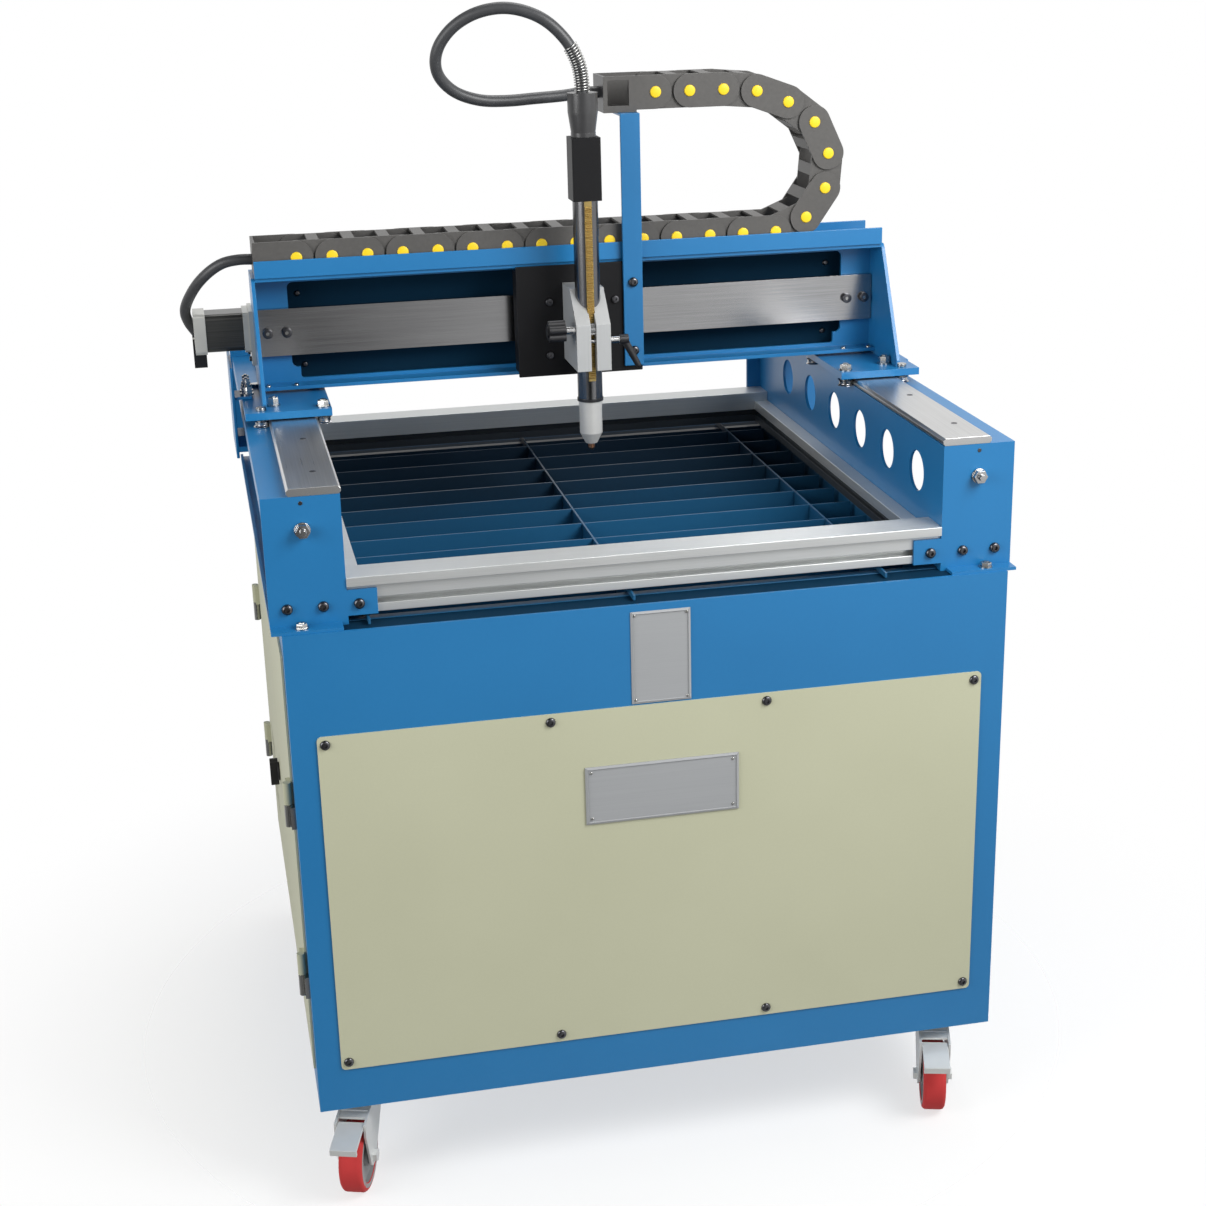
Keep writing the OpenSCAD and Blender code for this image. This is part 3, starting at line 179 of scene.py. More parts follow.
class Web:
    """A node tree in the making."""

    def __init__(self, tree: bpy.types.NodeTree) -> None:
        """Empties the tree."""
        self.tree = tree
        tree.nodes.clear()

    def node(
        self, kind: str, settings: Optional[dict] = None, sockets: Optional[dict] = None
    ) -> bpy.types.Node:
        """Adds a node.

        Args:
            kind: the node's type.
            settings: attributes, which are set first.
            sockets: values or wires of its inputs, by name or number.

        Returns:
            The new node.
        """
        made = self.tree.nodes.new(kind)
        for key, value in (settings or {}).items():
            setattr(made, key, value)
        self.feed(made, sockets or {})
        return made

    def feed(self, node: bpy.types.Node, sockets: dict) -> None:
        """Gives inputs of a node their values or wires, by name or number."""
        for key, value in sockets.items():
            plug(node.inputs[key], value)

    def out(self, node: bpy.types.Node, key: Union[int, str] = 0) -> Wire:
        """One output of a node."""
        return Wire(self.tree, node.outputs[key])

    def graded(self, value: Wire, span: Pair, result: Pair = (0.0, 1.0)) -> Wire:
        """Maps a value softly from one range to another.

        Args:
            value: the value to map.
            span: where the change starts and ends.
            result: what comes out at the start and at the end.

        Returns:
            The mapped value.
        """
        names = ("From Min", "From Max", "To Min", "To Max")
        sockets = {"Value": value, **dict(zip(names, (*span, *result)))}
        return self.out(self.node("ShaderNodeMapRange", {"interpolation_type": "SMOOTHSTEP"}, sockets))


class Recipe(Web):
    """The node tree of one material."""

    def __init__(self, name: str) -> None:
        """Starts a material with one shader and Object coordinates.

        Args:
            name: the material's name.
        """
        self.material = bpy.data.materials.new(name)
        self.material.use_nodes = True
        super().__init__(self.material.node_tree)
        self.shader = self.node("ShaderNodeBsdfPrincipled")
        self.node("ShaderNodeOutputMaterial", sockets={"Surface": self.out(self.shader)})
        self.place = self.out(self.node("ShaderNodeTexCoord"), "Object")

    def noise(self, scale: float, detail: float = 2.0, stretch: Point = (1.0, 1.0, 1.0)) -> Wire:
        """Soft noise over the piece.

        Args:
            scale: how many waves there are in a metre.
            detail: how many finer layers it has.
            stretch: how much denser it is along each axis.

        Returns:
            Values round one half.
        """
        spot = self.node("ShaderNodeMapping", sockets={"Vector": self.place, "Scale": stretch})
        made = self.node(
            "ShaderNodeTexNoise", sockets={"Vector": self.out(spot), "Scale": scale, "Detail": detail}
        )
        return self.out(made)

    def mix(self, share: Wire, first: Union[Color, Wire], second: Union[Color, Wire]) -> Wire:
        """Colour between two colours.

        Args:
            share: how much of the second colour there is.
            first: colour at zero.
            second: colour at one.

        Returns:
            The mixed colour.
        """
        pair = [c if isinstance(c, Wire) else (*c, 1.0) for c in (first, second)]
        made = self.node(
            "ShaderNodeMix", {"data_type": "RGBA", "clamp_factor": True}, {0: share, 6: pair[0], 7: pair[1]}
        )
        return self.out(made, 2)

    def depth(self, near: float, far: float, ripple: Wire) -> Wire:
        """Soft ramp along Y from zero at near to one at far, shifted by a ripple in metres."""
        parts = self.node("ShaderNodeSeparateXYZ", sockets={"Vector": self.place})
        return self.graded(self.out(parts, "Y") + ripple, (near, far))

    def bump(self, height: Wire, strength: float, depth: float) -> Wire:
        """Normal of a relief from zero to one, with its strength and its depth in metres."""
        sockets = {"Height": height, "Strength": strength, "Distance": depth}
        return self.out(self.node("ShaderNodeBump", sockets=sockets))


# Painted shade: the near-black blue that a finish darkens to towards the back, and how far the edge of that
# darkening ripples
PAINTED_SHADE_TONE: Color = (0.003, 0.006, 0.010)
PAINTED_SHADE_RIPPLE = 0.12
COAT_ROUGHNESS = 0.08
ROUGHNESS_SWING = 0.5
GROUND = (Grain.GROUND_X, Grain.GROUND_Y, Grain.GROUND_Z)
GROUND_DEPTH = 0.0003
GROUND_SHARE = 0.62
ALONG, ACROSS = 0.8, 90.0
# Waves in a metre and finer layers
CLOUD = (5.0, 3.0)
STREAK = (9.0, 4.0)
# Share of soft clouds; flecks and relief waves in a metre; layers and depth of the relief
FLECKS: dict[Grain, Row] = {
    Grain.PAINT: (0.75, 160.0, 520.0, 1.0, 0.0004),
    Grain.POWDER: (0.7, 300.0, 1300.0, 1.0, 0.0004),
    Grain.PLATED: (0.6, 45.0, 420.0, 2.0, 0.0003),
    Grain.MOULDED: (0.6, 240.0, 1700.0, 1.0, 0.0004),
    Grain.RUBBER: (0.5, 120.0, 900.0, 2.0, 0.0005),
}


@dataclass(frozen=True)
class Finish:
    """A surface of the table: its colours, gloss and grain, and any shade painted into its colour."""

    name: str
    slot: Optional[str]
    dark: Color
    light: Color
    roughness: float
    metallic: float = 0.0
    coat: float = 0.0
    grain: Grain = Grain.PAINT
    relief: float = 0.06
    gloss: float = 0.5
    # Painted shade: Y where the darkening starts and ends, and its strength
    painted_shade: tuple[float, float, float] = (0.0, 0.0, 0.0)

    def material(self) -> bpy.types.Material:
        """The material of this finish, made on first use."""
        known = bpy.data.materials.get(self.name)
        return known or self._make()

    def _make(self) -> bpy.types.Material:
        """Builds the material.

        Returns:
            The new material.
        """
        mix = Recipe(self.name)
        tone, height, depth = self._pattern(mix)
        color = mix.mix(tone, self.dark, self.light)
        # Painted shade: darker towards the back, with a rippled edge
        near, far, share = self.painted_shade
        if share > 0.0:
            color = mix.mix(mix.depth(near, far, tone * PAINTED_SHADE_RIPPLE) * share, color, PAINTED_SHADE_TONE)
        mix.feed(mix.shader, {
            "Base Color": color,
            "Metallic": self.metallic,
            "Roughness": self.roughness + (tone - 0.5) * (ROUGHNESS_SWING * self.roughness),
            "Specular IOR Level": self.gloss,
            "Coat Weight": self.coat,
            "Coat Roughness": COAT_ROUGHNESS,
            "Normal": mix.bump(height, self.relief, depth),
        })
        return mix.material

    def _pattern(self, mix: Recipe) -> tuple[Wire, Wire, float]:
        """Chooses the grain.

        Args:
            mix: the material in the making.

        Returns:
            The tone between dark and light, the relief and its depth.
        """
        cloud = mix.noise(*CLOUD)
        if self.grain in GROUND:
            stretch = tuple(ALONG if grain is self.grain else ACROSS for grain in GROUND)
            streak = mix.noise(*STREAK, stretch)
            return streak * GROUND_SHARE + cloud * (1.0 - GROUND_SHARE), streak, GROUND_DEPTH
        share, fleck, relief, layers, depth = FLECKS[self.grain]
        tone = cloud * share + mix.noise(fleck) * (1.0 - share)
        return tone, mix.noise(relief, layers), depth

    def apply(self, piece: Piece) -> None:
        """Gives the whole piece this finish.

        Args:
            piece: the piece.
        """
        piece.data.materials.clear()
        piece.data.materials.append(self.material())
        piece.data.polygons.foreach_set("material_index", [0] * len(piece.data.polygons))

    def apply_where(self, piece: Piece, test: Test) -> None:
        """Gives part of a piece this finish.

        Args:
            piece: the piece, which has a finish already.
            test: true for the middle of a face that takes it.
        """
        piece.data.materials.append(self.material())
        number = len(piece.data.materials) - 1
        for face in piece.data.polygons:
            if test(face.center):
                face.material_index = number


BLUE = Finish(
    "blue_enamel", "blue_paint", (0.010, 0.144, 0.352), (0.013, 0.178, 0.418), 0.38, coat=0.10, gloss=0.48
)
# Painted shade: a darker copy of the blue enamel for the bed, darker still towards the back where the
# gantry's shadow falls
SHADED_BED_BLUE = Finish(
    "shaded_blue_enamel", "blue_paint", (0.009, 0.072, 0.158), (0.015, 0.112, 0.240), 0.42,
    coat=0.10, gloss=0.30, painted_shade=(-0.06, 0.22, 0.86),
)
# Painted shade: near-black blue put where there is only shade, inside the gantry beam and on the deck below
# the rails
PAINTED_SHADE_BLUE = Finish(
    "painted_shade_enamel", "blue_paint", (0.003, 0.020, 0.044), (0.005, 0.034, 0.072), 0.68, gloss=0.05
)
CREAM = Finish(
    "cream_coat", "cream_paint", (0.450, 0.455, 0.320), (0.515, 0.520, 0.375), 0.48, grain=Grain.POWDER,
    relief=0.10, gloss=0.35,
)
BAR_X = Finish(
    "ground_bar_x", "bar_steel", (0.25, 0.25, 0.26), (0.54, 0.54, 0.54), 0.20, 1.0, grain=Grain.GROUND_X
)
BAR_Y = Finish(
    "ground_bar_y", "bar_steel", (0.42, 0.42, 0.42), (0.80, 0.80, 0.79), 0.30, 1.0, grain=Grain.GROUND_Y
)
RAIL = Finish(
    "drawn_rail", "aluminium", (0.57, 0.59, 0.59), (0.80, 0.81, 0.80), 0.42, 0.8, grain=Grain.GROUND_X
)
# Painted shade: a dark copy of the rail aluminium for the lower inner faces of the rails
SHADED_RAIL = Finish(
    "shaded_rail", "aluminium", (0.020, 0.026, 0.032), (0.050, 0.058, 0.066), 0.52, 0.3, gloss=0.3
)
CAST_ALU = Finish(
    "milled_aluminium", "aluminium", (0.42, 0.43, 0.43), (0.56, 0.57, 0.57), 0.42, 0.40, grain=Grain.GROUND_Z
)
ZINC = Finish("bright_zinc", "zinc", (0.34, 0.34, 0.33), (0.58, 0.58, 0.56), 0.24, 1.0, grain=Grain.PLATED)
CASTER_ZINC = Finish(
    "pressed_zinc", "zinc", (0.60, 0.61, 0.60), (0.80, 0.81, 0.79), 0.36, 0.45, grain=Grain.PLATED
)
DARK_STEEL = Finish(
    "blackened_screw", "zinc", (0.06, 0.06, 0.065), (0.16, 0.16, 0.17), 0.30, 1.0, grain=Grain.PLATED
)
BRIGHT_STEEL = Finish(
    "turned_steel", "bar_steel", (0.36, 0.36, 0.36), (0.60, 0.60, 0.60), 0.22, 1.0, grain=Grain.PLATED
)
SILVER = Finish(
    "torch_barrel_steel", "torch_silver", (0.09, 0.09, 0.095), (0.22, 0.22, 0.225), 0.22, 1.0,
    grain=Grain.GROUND_Z,
)
BLACK_PAINT = Finish(
    "black_coat", "black_paint", (0.004, 0.004, 0.005), (0.009, 0.009, 0.010), 0.48,
    grain=Grain.POWDER, gloss=0.22,
)
BLACK_PLASTIC = Finish(
    "black_moulding", "black_plastic", (0.008, 0.008, 0.009), (0.020, 0.020, 0.022), 0.36, grain=Grain.MOULDED
)
CHAIN_GREY = Finish(
    "chain_moulding", "chain_grey", (0.052, 0.050, 0.048), (0.110, 0.106, 0.100), 0.46, grain=Grain.MOULDED
)
COLLAR_GREY = Finish(
    "collar_moulding", "black_plastic", (0.030, 0.030, 0.031), (0.060, 0.060, 0.062), 0.30,
    grain=Grain.MOULDED,
)
CAP_YELLOW = Finish("yellow_cap", None, (0.78, 0.52, 0.01), (0.92, 0.66, 0.02), 0.35, grain=Grain.MOULDED)
BOX_GREY = Finish("grey_coat", "box_grey", (0.30, 0.30, 0.30), (0.38, 0.38, 0.38), 0.45, grain=Grain.POWDER)
BRASS = Finish(
    "brass_rack", "brass", (0.40, 0.28, 0.09), (0.66, 0.50, 0.20), 0.32, 1.0, grain=Grain.GROUND_Z
)
COPPER = Finish(
    "copper_tip", "copper", (0.55, 0.24, 0.12), (0.80, 0.40, 0.24), 0.28, 1.0, grain=Grain.PLATED
)
CUP_GREY = Finish(
    "shield_cup_grey", "zinc", (0.46, 0.46, 0.45), (0.56, 0.56, 0.54), 0.40, 0.15, grain=Grain.MOULDED
)
RED = Finish(
    "red_tread", "red_tread", (0.42, 0.010, 0.014), (0.60, 0.022, 0.026), 0.32, coat=0.2,
    grain=Grain.MOULDED,
)
HUB = Finish("wheel_hub", "red_tread", (0.20, 0.20, 0.20), (0.30, 0.30, 0.30), 0.45, grain=Grain.MOULDED)
RUBBER = Finish(
    "hose_rubber", "black_rubber", (0.030, 0.031, 0.033), (0.062, 0.064, 0.068), 0.42,
    grain=Grain.RUBBER, relief=0.12,
)
MOTOR_GREY = Finish(
    "motor_end_cap", "aluminium", (0.50, 0.50, 0.47), (0.66, 0.66, 0.62), 0.38, 0.6, grain=Grain.PLATED
)
MOTOR_CORE = Finish(
    "motor_laminations", "black_paint", (0.030, 0.030, 0.030), (0.16, 0.16, 0.15), 0.30, 0.8,
    grain=Grain.GROUND_X,
)
PLATE_ALU = Finish(
    "blank_plate", "aluminium", (0.30, 0.31, 0.32), (0.40, 0.41, 0.42), 0.58, 0.15, grain=Grain.GROUND_X
)


class Bench:
    """Hand work with operators: widths in metres, angles in degrees."""

    SOLID_WELD = 2e-6
    WELD = 1e-6
    DUST = 1e-7
    FLAT = 0.4
    SHARP = 42.0
    CREASE = 38.0
    TUBE_CREASE = 50.0
    STEPS = 2
    # Least share of a face's normal in the direction that it faces
    TOWARD = 0.9
    FLUSH = 0.99

    @staticmethod
    def clear() -> None:
        """Leaves nothing selected."""
        bpy.ops.object.select_all(action="DESELECT")

    @staticmethod
    def hold(piece: Piece) -> None:
        """Selects one piece and makes it active.

        Args:
            piece: the piece.
        """
        Bench.clear()
        piece.select_set(True)
        bpy.context.view_layer.objects.active = piece

    @staticmethod
    @contextlib.contextmanager
    def editing(piece: Piece) -> Iterator[None]:
        """Edit mode on one piece, for faces, with all of them selected.

        Args:
            piece: the piece to edit.

        Returns:
            A context that ends in object mode.
        """
        Bench.hold(piece)
        bpy.ops.object.mode_set(mode="EDIT")
        bpy.ops.mesh.select_mode(type="FACE")
        bpy.ops.mesh.select_all(action="SELECT")
        yield
        bpy.ops.object.mode_set(mode="OBJECT")

    @staticmethod
    def pick(piece: Piece, test: Callable[[Vector, Vector], bool]) -> None:
        """Selects faces in edit mode.

        Args:
            piece: the piece in edit mode.
            test: true for the middle and normal of a face to select.
        """
        bpy.ops.mesh.select_all(action="DESELECT")
        mesh = bmesh.from_edit_mesh(piece.data)
        for face in mesh.faces:
            if test(face.calc_center_median(), face.normal):
                face.select_set(True)
        bmesh.update_edit_mesh(piece.data)

    @staticmethod
    def soften(piece: Piece, edge: float) -> None:
        """Merges a solid's triangles into faces, clears walls inside it and rounds its sharp edges.

        Args:
            piece: the copy of a solid.
            edge: width of the rounding in metres.
        """
        with Bench.editing(piece):
            bpy.ops.mesh.remove_doubles(threshold=Bench.SOLID_WELD)
            bpy.ops.mesh.dissolve_limited(angle_limit=math.radians(Bench.FLAT))
            bpy.ops.mesh.select_all(action="DESELECT")
            bpy.ops.mesh.select_interior_faces()
            bpy.ops.mesh.delete(type="FACE")
        Bench.round_edges(piece, edge)

    @staticmethod
    def round_edges(piece: Piece, edge: float) -> None:
        """Rounds sharp edges with a modifier and shades the piece.

        Args:
            piece: the piece.
            edge: width of the rounding in metres.
        """
        Bench.hold(piece)
        bevel = piece.modifiers.new("round", "BEVEL")
        bevel.width = edge
        bevel.segments = Bench.STEPS
        bevel.limit_method = "ANGLE"
        bevel.angle_limit = math.radians(Bench.SHARP)
        bpy.ops.object.modifier_apply(modifier=bevel.name)
        with Bench.editing(piece):
            bpy.ops.mesh.dissolve_degenerate(threshold=Bench.DUST)
        Bench.shade(piece)
        Bench.flatten(piece)

    @staticmethod
    def shade(piece: Piece, angle: float = CREASE) -> None:
        """Shades smoothly over edges flatter than the angle in degrees."""
        Bench.hold(piece)
        bpy.ops.object.shade_smooth_by_angle(angle=math.radians(angle))

    @staticmethod
    def flatten(piece: Piece) -> None:
        """Lets the large flat faces lead the shading of the rounded edges.

        Args:
            piece: the piece, shaded already.
        """
        Bench.hold(piece)
        lead = piece.modifiers.new("lead", "WEIGHTED_NORMAL")
        lead.keep_sharp = True
        bpy.ops.object.modifier_apply(modifier=lead.name)

    @staticmethod
    def block(name: str, low: Point, high: Point, edge: float) -> Piece:
        """Rectangular plate with rounded edges, not yet shaded.

        Args:
            name: its name.
            low: lowest corner.
            high: highest corner.
            edge: rounding in metres.

        Returns:
            The plate.
        """
        Bench.clear()
        a, b = Vector(low), Vector(high)
        bpy.ops.mesh.primitive_cube_add(size=1.0, location=(a + b) / 2)
        piece = bpy.context.object
        piece.name = name
        piece.scale = b - a
        bpy.ops.object.transform_apply(location=True, rotation=True, scale=True)
        with Bench.editing(piece):
            bpy.ops.mesh.bevel(offset=edge, segments=Bench.STEPS, affect="EDGES")
        return piece

    @staticmethod
    def disc(name: str, radius: float, height: float, sides: int = 24) -> Piece:
        """Round or many-sided boss standing on the origin.

        Args:
            name: its name.
            radius: over its corners.
            height: along +Z.
            sides: number of sides.

        Returns:
            The boss.
        """
        Bench.clear()
        bpy.ops.mesh.primitive_cylinder_add(
            vertices=sides, radius=radius, depth=height, location=(0.0, 0.0, height / 2)
        )
        piece = bpy.context.object
        piece.name = name
        bpy.ops.object.transform_apply(location=True, rotation=True, scale=True)
        return piece

    @staticmethod
    def cut(piece: Piece, spot: Point, way: Point) -> None:
        """Keeps the side of a plane that the direction points to, and closes the cut."""
        with Bench.editing(piece):
            bpy.ops.mesh.bisect(plane_co=spot, plane_no=way, use_fill=True, clear_inner=True)

    @staticmethod
    def join(name: str, parts: Sequence[Piece]) -> Piece:
        """Makes one piece of several.

        Args:
            name: name of the result.
            parts: the pieces, which are used up.

        Returns:
            The joined piece.
        """
        Bench.hold(parts[0])
        for part in parts:
            part.select_set(True)
        bpy.ops.object.join()
        parts[0].name = name
        return parts[0]

    @staticmethod
    def copy_to(pattern: Piece, move: Matrix) -> Piece:
        """Copy of a pattern, with its own mesh, its place in the mesh.

        Args:
            pattern: the piece modelled once.
            move: where the copy goes.

        Returns:
            The copy.
        """
        piece = pattern.copy()
        piece.data = pattern.data.copy()
        bpy.context.scene.collection.objects.link(piece)
        piece.data.transform(move)
        return piece


def grid(xs: Row, ys: Row, zs: Row) -> list[Point]:
    """Every point with one of these X, Y and Z."""
    return [(x, y, z) for x in xs for y in ys for z in zs]


def facing(way: Point, points: Sequence[Point]) -> tuple[Spot, ...]:
    """The points, each with the same direction."""
    return tuple((point, way) for point in points)


def both_sides(way: Point, points: Sequence[Point]) -> tuple[Spot, ...]:
    """The points and their mirror images in X, each with the same direction."""
    return facing(way, [(s * x, y, z) for s in SIDES for x, y, z in points])


def stand(foot: Point, way: Union[Point, Vector]) -> Matrix:
    """Move that takes an upright piece from the origin to its foot and direction."""
    return Matrix.Translation(foot) @ Vector(UP).rotation_difference(Vector(way)).to_matrix().to_4x4()


@dataclass(frozen=True)
class ScrewRow:
    """Equal screw heads, modelled once and copied to their spots: foot and direction."""

    name: str
    finish: Finish
    head: Head
    radius: float
    height: float
    spots: tuple[Spot, ...] = ()

    TOP_STEPS = 3
    NUT_STEPS = 2
    NUT_SIDES = 6
    WASHER_SIDES = 28
    # Shares of the radius
    ROUNDING = {Head.SOCKET: 0.12, Head.BUTTON: 0.45, Head.SUNK: 0.10, Head.RIVET: 0.5}
    KEY_RIM = {Head.SOCKET: 0.5, Head.BUTTON: 0.12, Head.SUNK: 0.12}
    WASHER_RADIUS = 1.16
    NUT_EDGE = 0.14
    STUD_RIM = 0.3
    # Shares of the height
    DEEPEST = 0.9
    KEY_DEPTH = 0.6
    WASHER_HEIGHT = 0.22
    NUT_FOOT = 0.2
    NUT_HEIGHT = 0.8
    STUD_RISE = 0.16
    TOP = 0.98

    def place(self, body: str) -> Piece:
        """Sets the heads.

        Args:
            body: the body they move with.

        Returns:
            The heads as one piece.
        """
        model = self.pattern()
        copies = [Bench.copy_to(model, stand(*spot)) for spot in self.spots]
        bpy.data.objects.remove(model)
        piece = Bench.join(self.name, copies)
        self.finish.apply(piece)
        return settle(piece, body)

    def pattern(self) -> Piece:
        """Models one head on the origin, along +Z.

        Returns:
            The head.
        """
        if self.head is Head.HEX:
            return self._hexagon()
        piece = Bench.disc("pattern", self.radius, self.height)
        rounding = min(self.radius * self.ROUNDING[self.head], self.height * self.DEEPEST)
        with Bench.editing(piece):
            Bench.pick(piece, lambda middle, normal: normal.z > Bench.TOWARD)
            bpy.ops.mesh.bevel(offset=rounding, segments=self.TOP_STEPS, affect="EDGES")
            if self.head in self.KEY_RIM:
                self._move_top(piece, self.KEY_RIM[self.head], -self.KEY_DEPTH)
        Bench.shade(piece)
        return piece

    def _hexagon(self) -> Piece:
        """Models a hexagon head with a stud on its washer.

        Returns:
            The head.
        """
        wide, thin = self.radius * self.WASHER_RADIUS, self.height * self.WASHER_HEIGHT
        washer = Bench.disc("washer", wide, thin, self.WASHER_SIDES)
        nut = Bench.disc("nut", self.radius, self.height * self.NUT_HEIGHT, self.NUT_SIDES)
        nut.data.transform(Matrix.Translation((0.0, 0.0, self.height * self.NUT_FOOT)))
        with Bench.editing(nut):
            Bench.pick(nut, lambda middle, normal: normal.z > Bench.TOWARD)
            bpy.ops.mesh.bevel(offset=self.radius * self.NUT_EDGE, segments=self.NUT_STEPS, affect="EDGES")
            self._move_top(nut, self.STUD_RIM, self.STUD_RISE)
        piece = Bench.join("pattern", [washer, nut])
        Bench.shade(piece)
        return piece

    def _move_top(self, piece: Piece, rim: float, rise: float) -> None:
        """Moves the middle of a head's top up or down.

        Args:
            piece: the head in edit mode.
            rim: width of the rim that stays, as a share of the radius.
            rise: how far the middle goes up, as a share of the height.
        """
        Bench.pick(piece, lambda middle, normal: normal.z > Bench.FLUSH and middle.z > self.height * self.TOP)
        bpy.ops.mesh.inset(thickness=self.radius * rim)
        bpy.ops.mesh.extrude_region_move(TRANSFORM_OT_translate={"value": (0.0, 0.0, self.height * rise)})


def settle(piece: Piece, body: str, nodes: Sequence[str] = ()) -> Piece:
    """Puts a finished piece on its body.

    Args:
        piece: the piece in place.
        body: the body it moves with.
        nodes: solids that it stands for.

    Returns:
        The piece.
    """
    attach(piece, body)
    if nodes:
        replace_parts(piece, *nodes)
    LOG.info("%s rides on %s", piece.name, body)
    return piece


def copy_of(node: str, edge: float) -> Piece:
    """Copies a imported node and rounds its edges.

    Args:
        node: the node's name.
        edge: rounding in metres.

    Returns:
        The loose copy.
    """
    source = frame["nodes"][node]
    piece = bpy.data.objects.new(f"{node}_finished", source.data.copy())
    bpy.context.scene.collection.objects.link(piece)
    Bench.soften(piece, edge)
    return piece


def dress(node: str, finish: Finish, edge: float) -> Piece:
    """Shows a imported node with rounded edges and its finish.

    Args:
        node: the node's name.
        finish: its finish.
        edge: rounding in metres.

    Returns:
        The piece that stands for the node.
    """
    piece = copy_of(node, edge)
    finish.apply(piece)
    return settle(piece, frame["nodes"][node]["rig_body"], [node])


def catmull(points: Sequence[Point], steps: int) -> list[Vector]:
    """Smooth line through points, as the source of the part draws it.

    Args:
        points: the route's points.
        steps: stretches between two points.

    Returns:
        Points of the line.
    """
    knots = [Vector(p) for p in points]
    last = len(knots) - 1
    line = []
    for i in range(last):
        a, b, c, d = (knots[max(0, min(last, k))] for k in (i - 1, i, i + 1, i + 2))
        for k in range(steps):
            t = k / steps
            bend = (2 * a - 5 * b + 4 * c - d) * t * t + (3 * b - a - 3 * c + d) * t * t * t
            line.append(0.5 * (2 * b + (c - a) * t + bend))
    line.append(knots[last])
    return line


def swept(name: str, line: Sequence[Vector], radius: float, rings: int) -> Piece:
    """Round tube along a line, as a mesh with closed ends.

    Args:
        name: its name.
        line: points of its middle.
        radius: its radius in metres.
        rings: resolution of its roundness.

    Returns:
        The tube.
    """
    Bench.clear()
    curve = bpy.data.curves.new(name, "CURVE")
    curve.dimensions = "3D"
    curve.twist_mode = "MINIMUM"
    curve.bevel_depth = radius
    curve.bevel_resolution = rings
    curve.use_fill_caps = True
    spline = curve.splines.new("POLY")
    spline.points.add(len(line) - 1)
    for spot, point in zip(spline.points, line):
        spot.co = (*point, 1.0)
    piece = bpy.data.objects.new(name, curve)
    bpy.context.scene.collection.objects.link(piece)
    Bench.hold(piece)
    bpy.ops.object.convert(target="MESH")
    piece = bpy.context.object
    with Bench.editing(piece):
        bpy.ops.mesh.remove_doubles(threshold=Bench.WELD)
        bpy.ops.mesh.normals_make_consistent(inside=False)
    Bench.shade(piece, Bench.TUBE_CREASE)
    return piece


def length_of(line: Sequence[Vector]) -> float:
    """Length of a line of points."""
    return sum((b - a).length for a, b in zip(line, line[1:]))


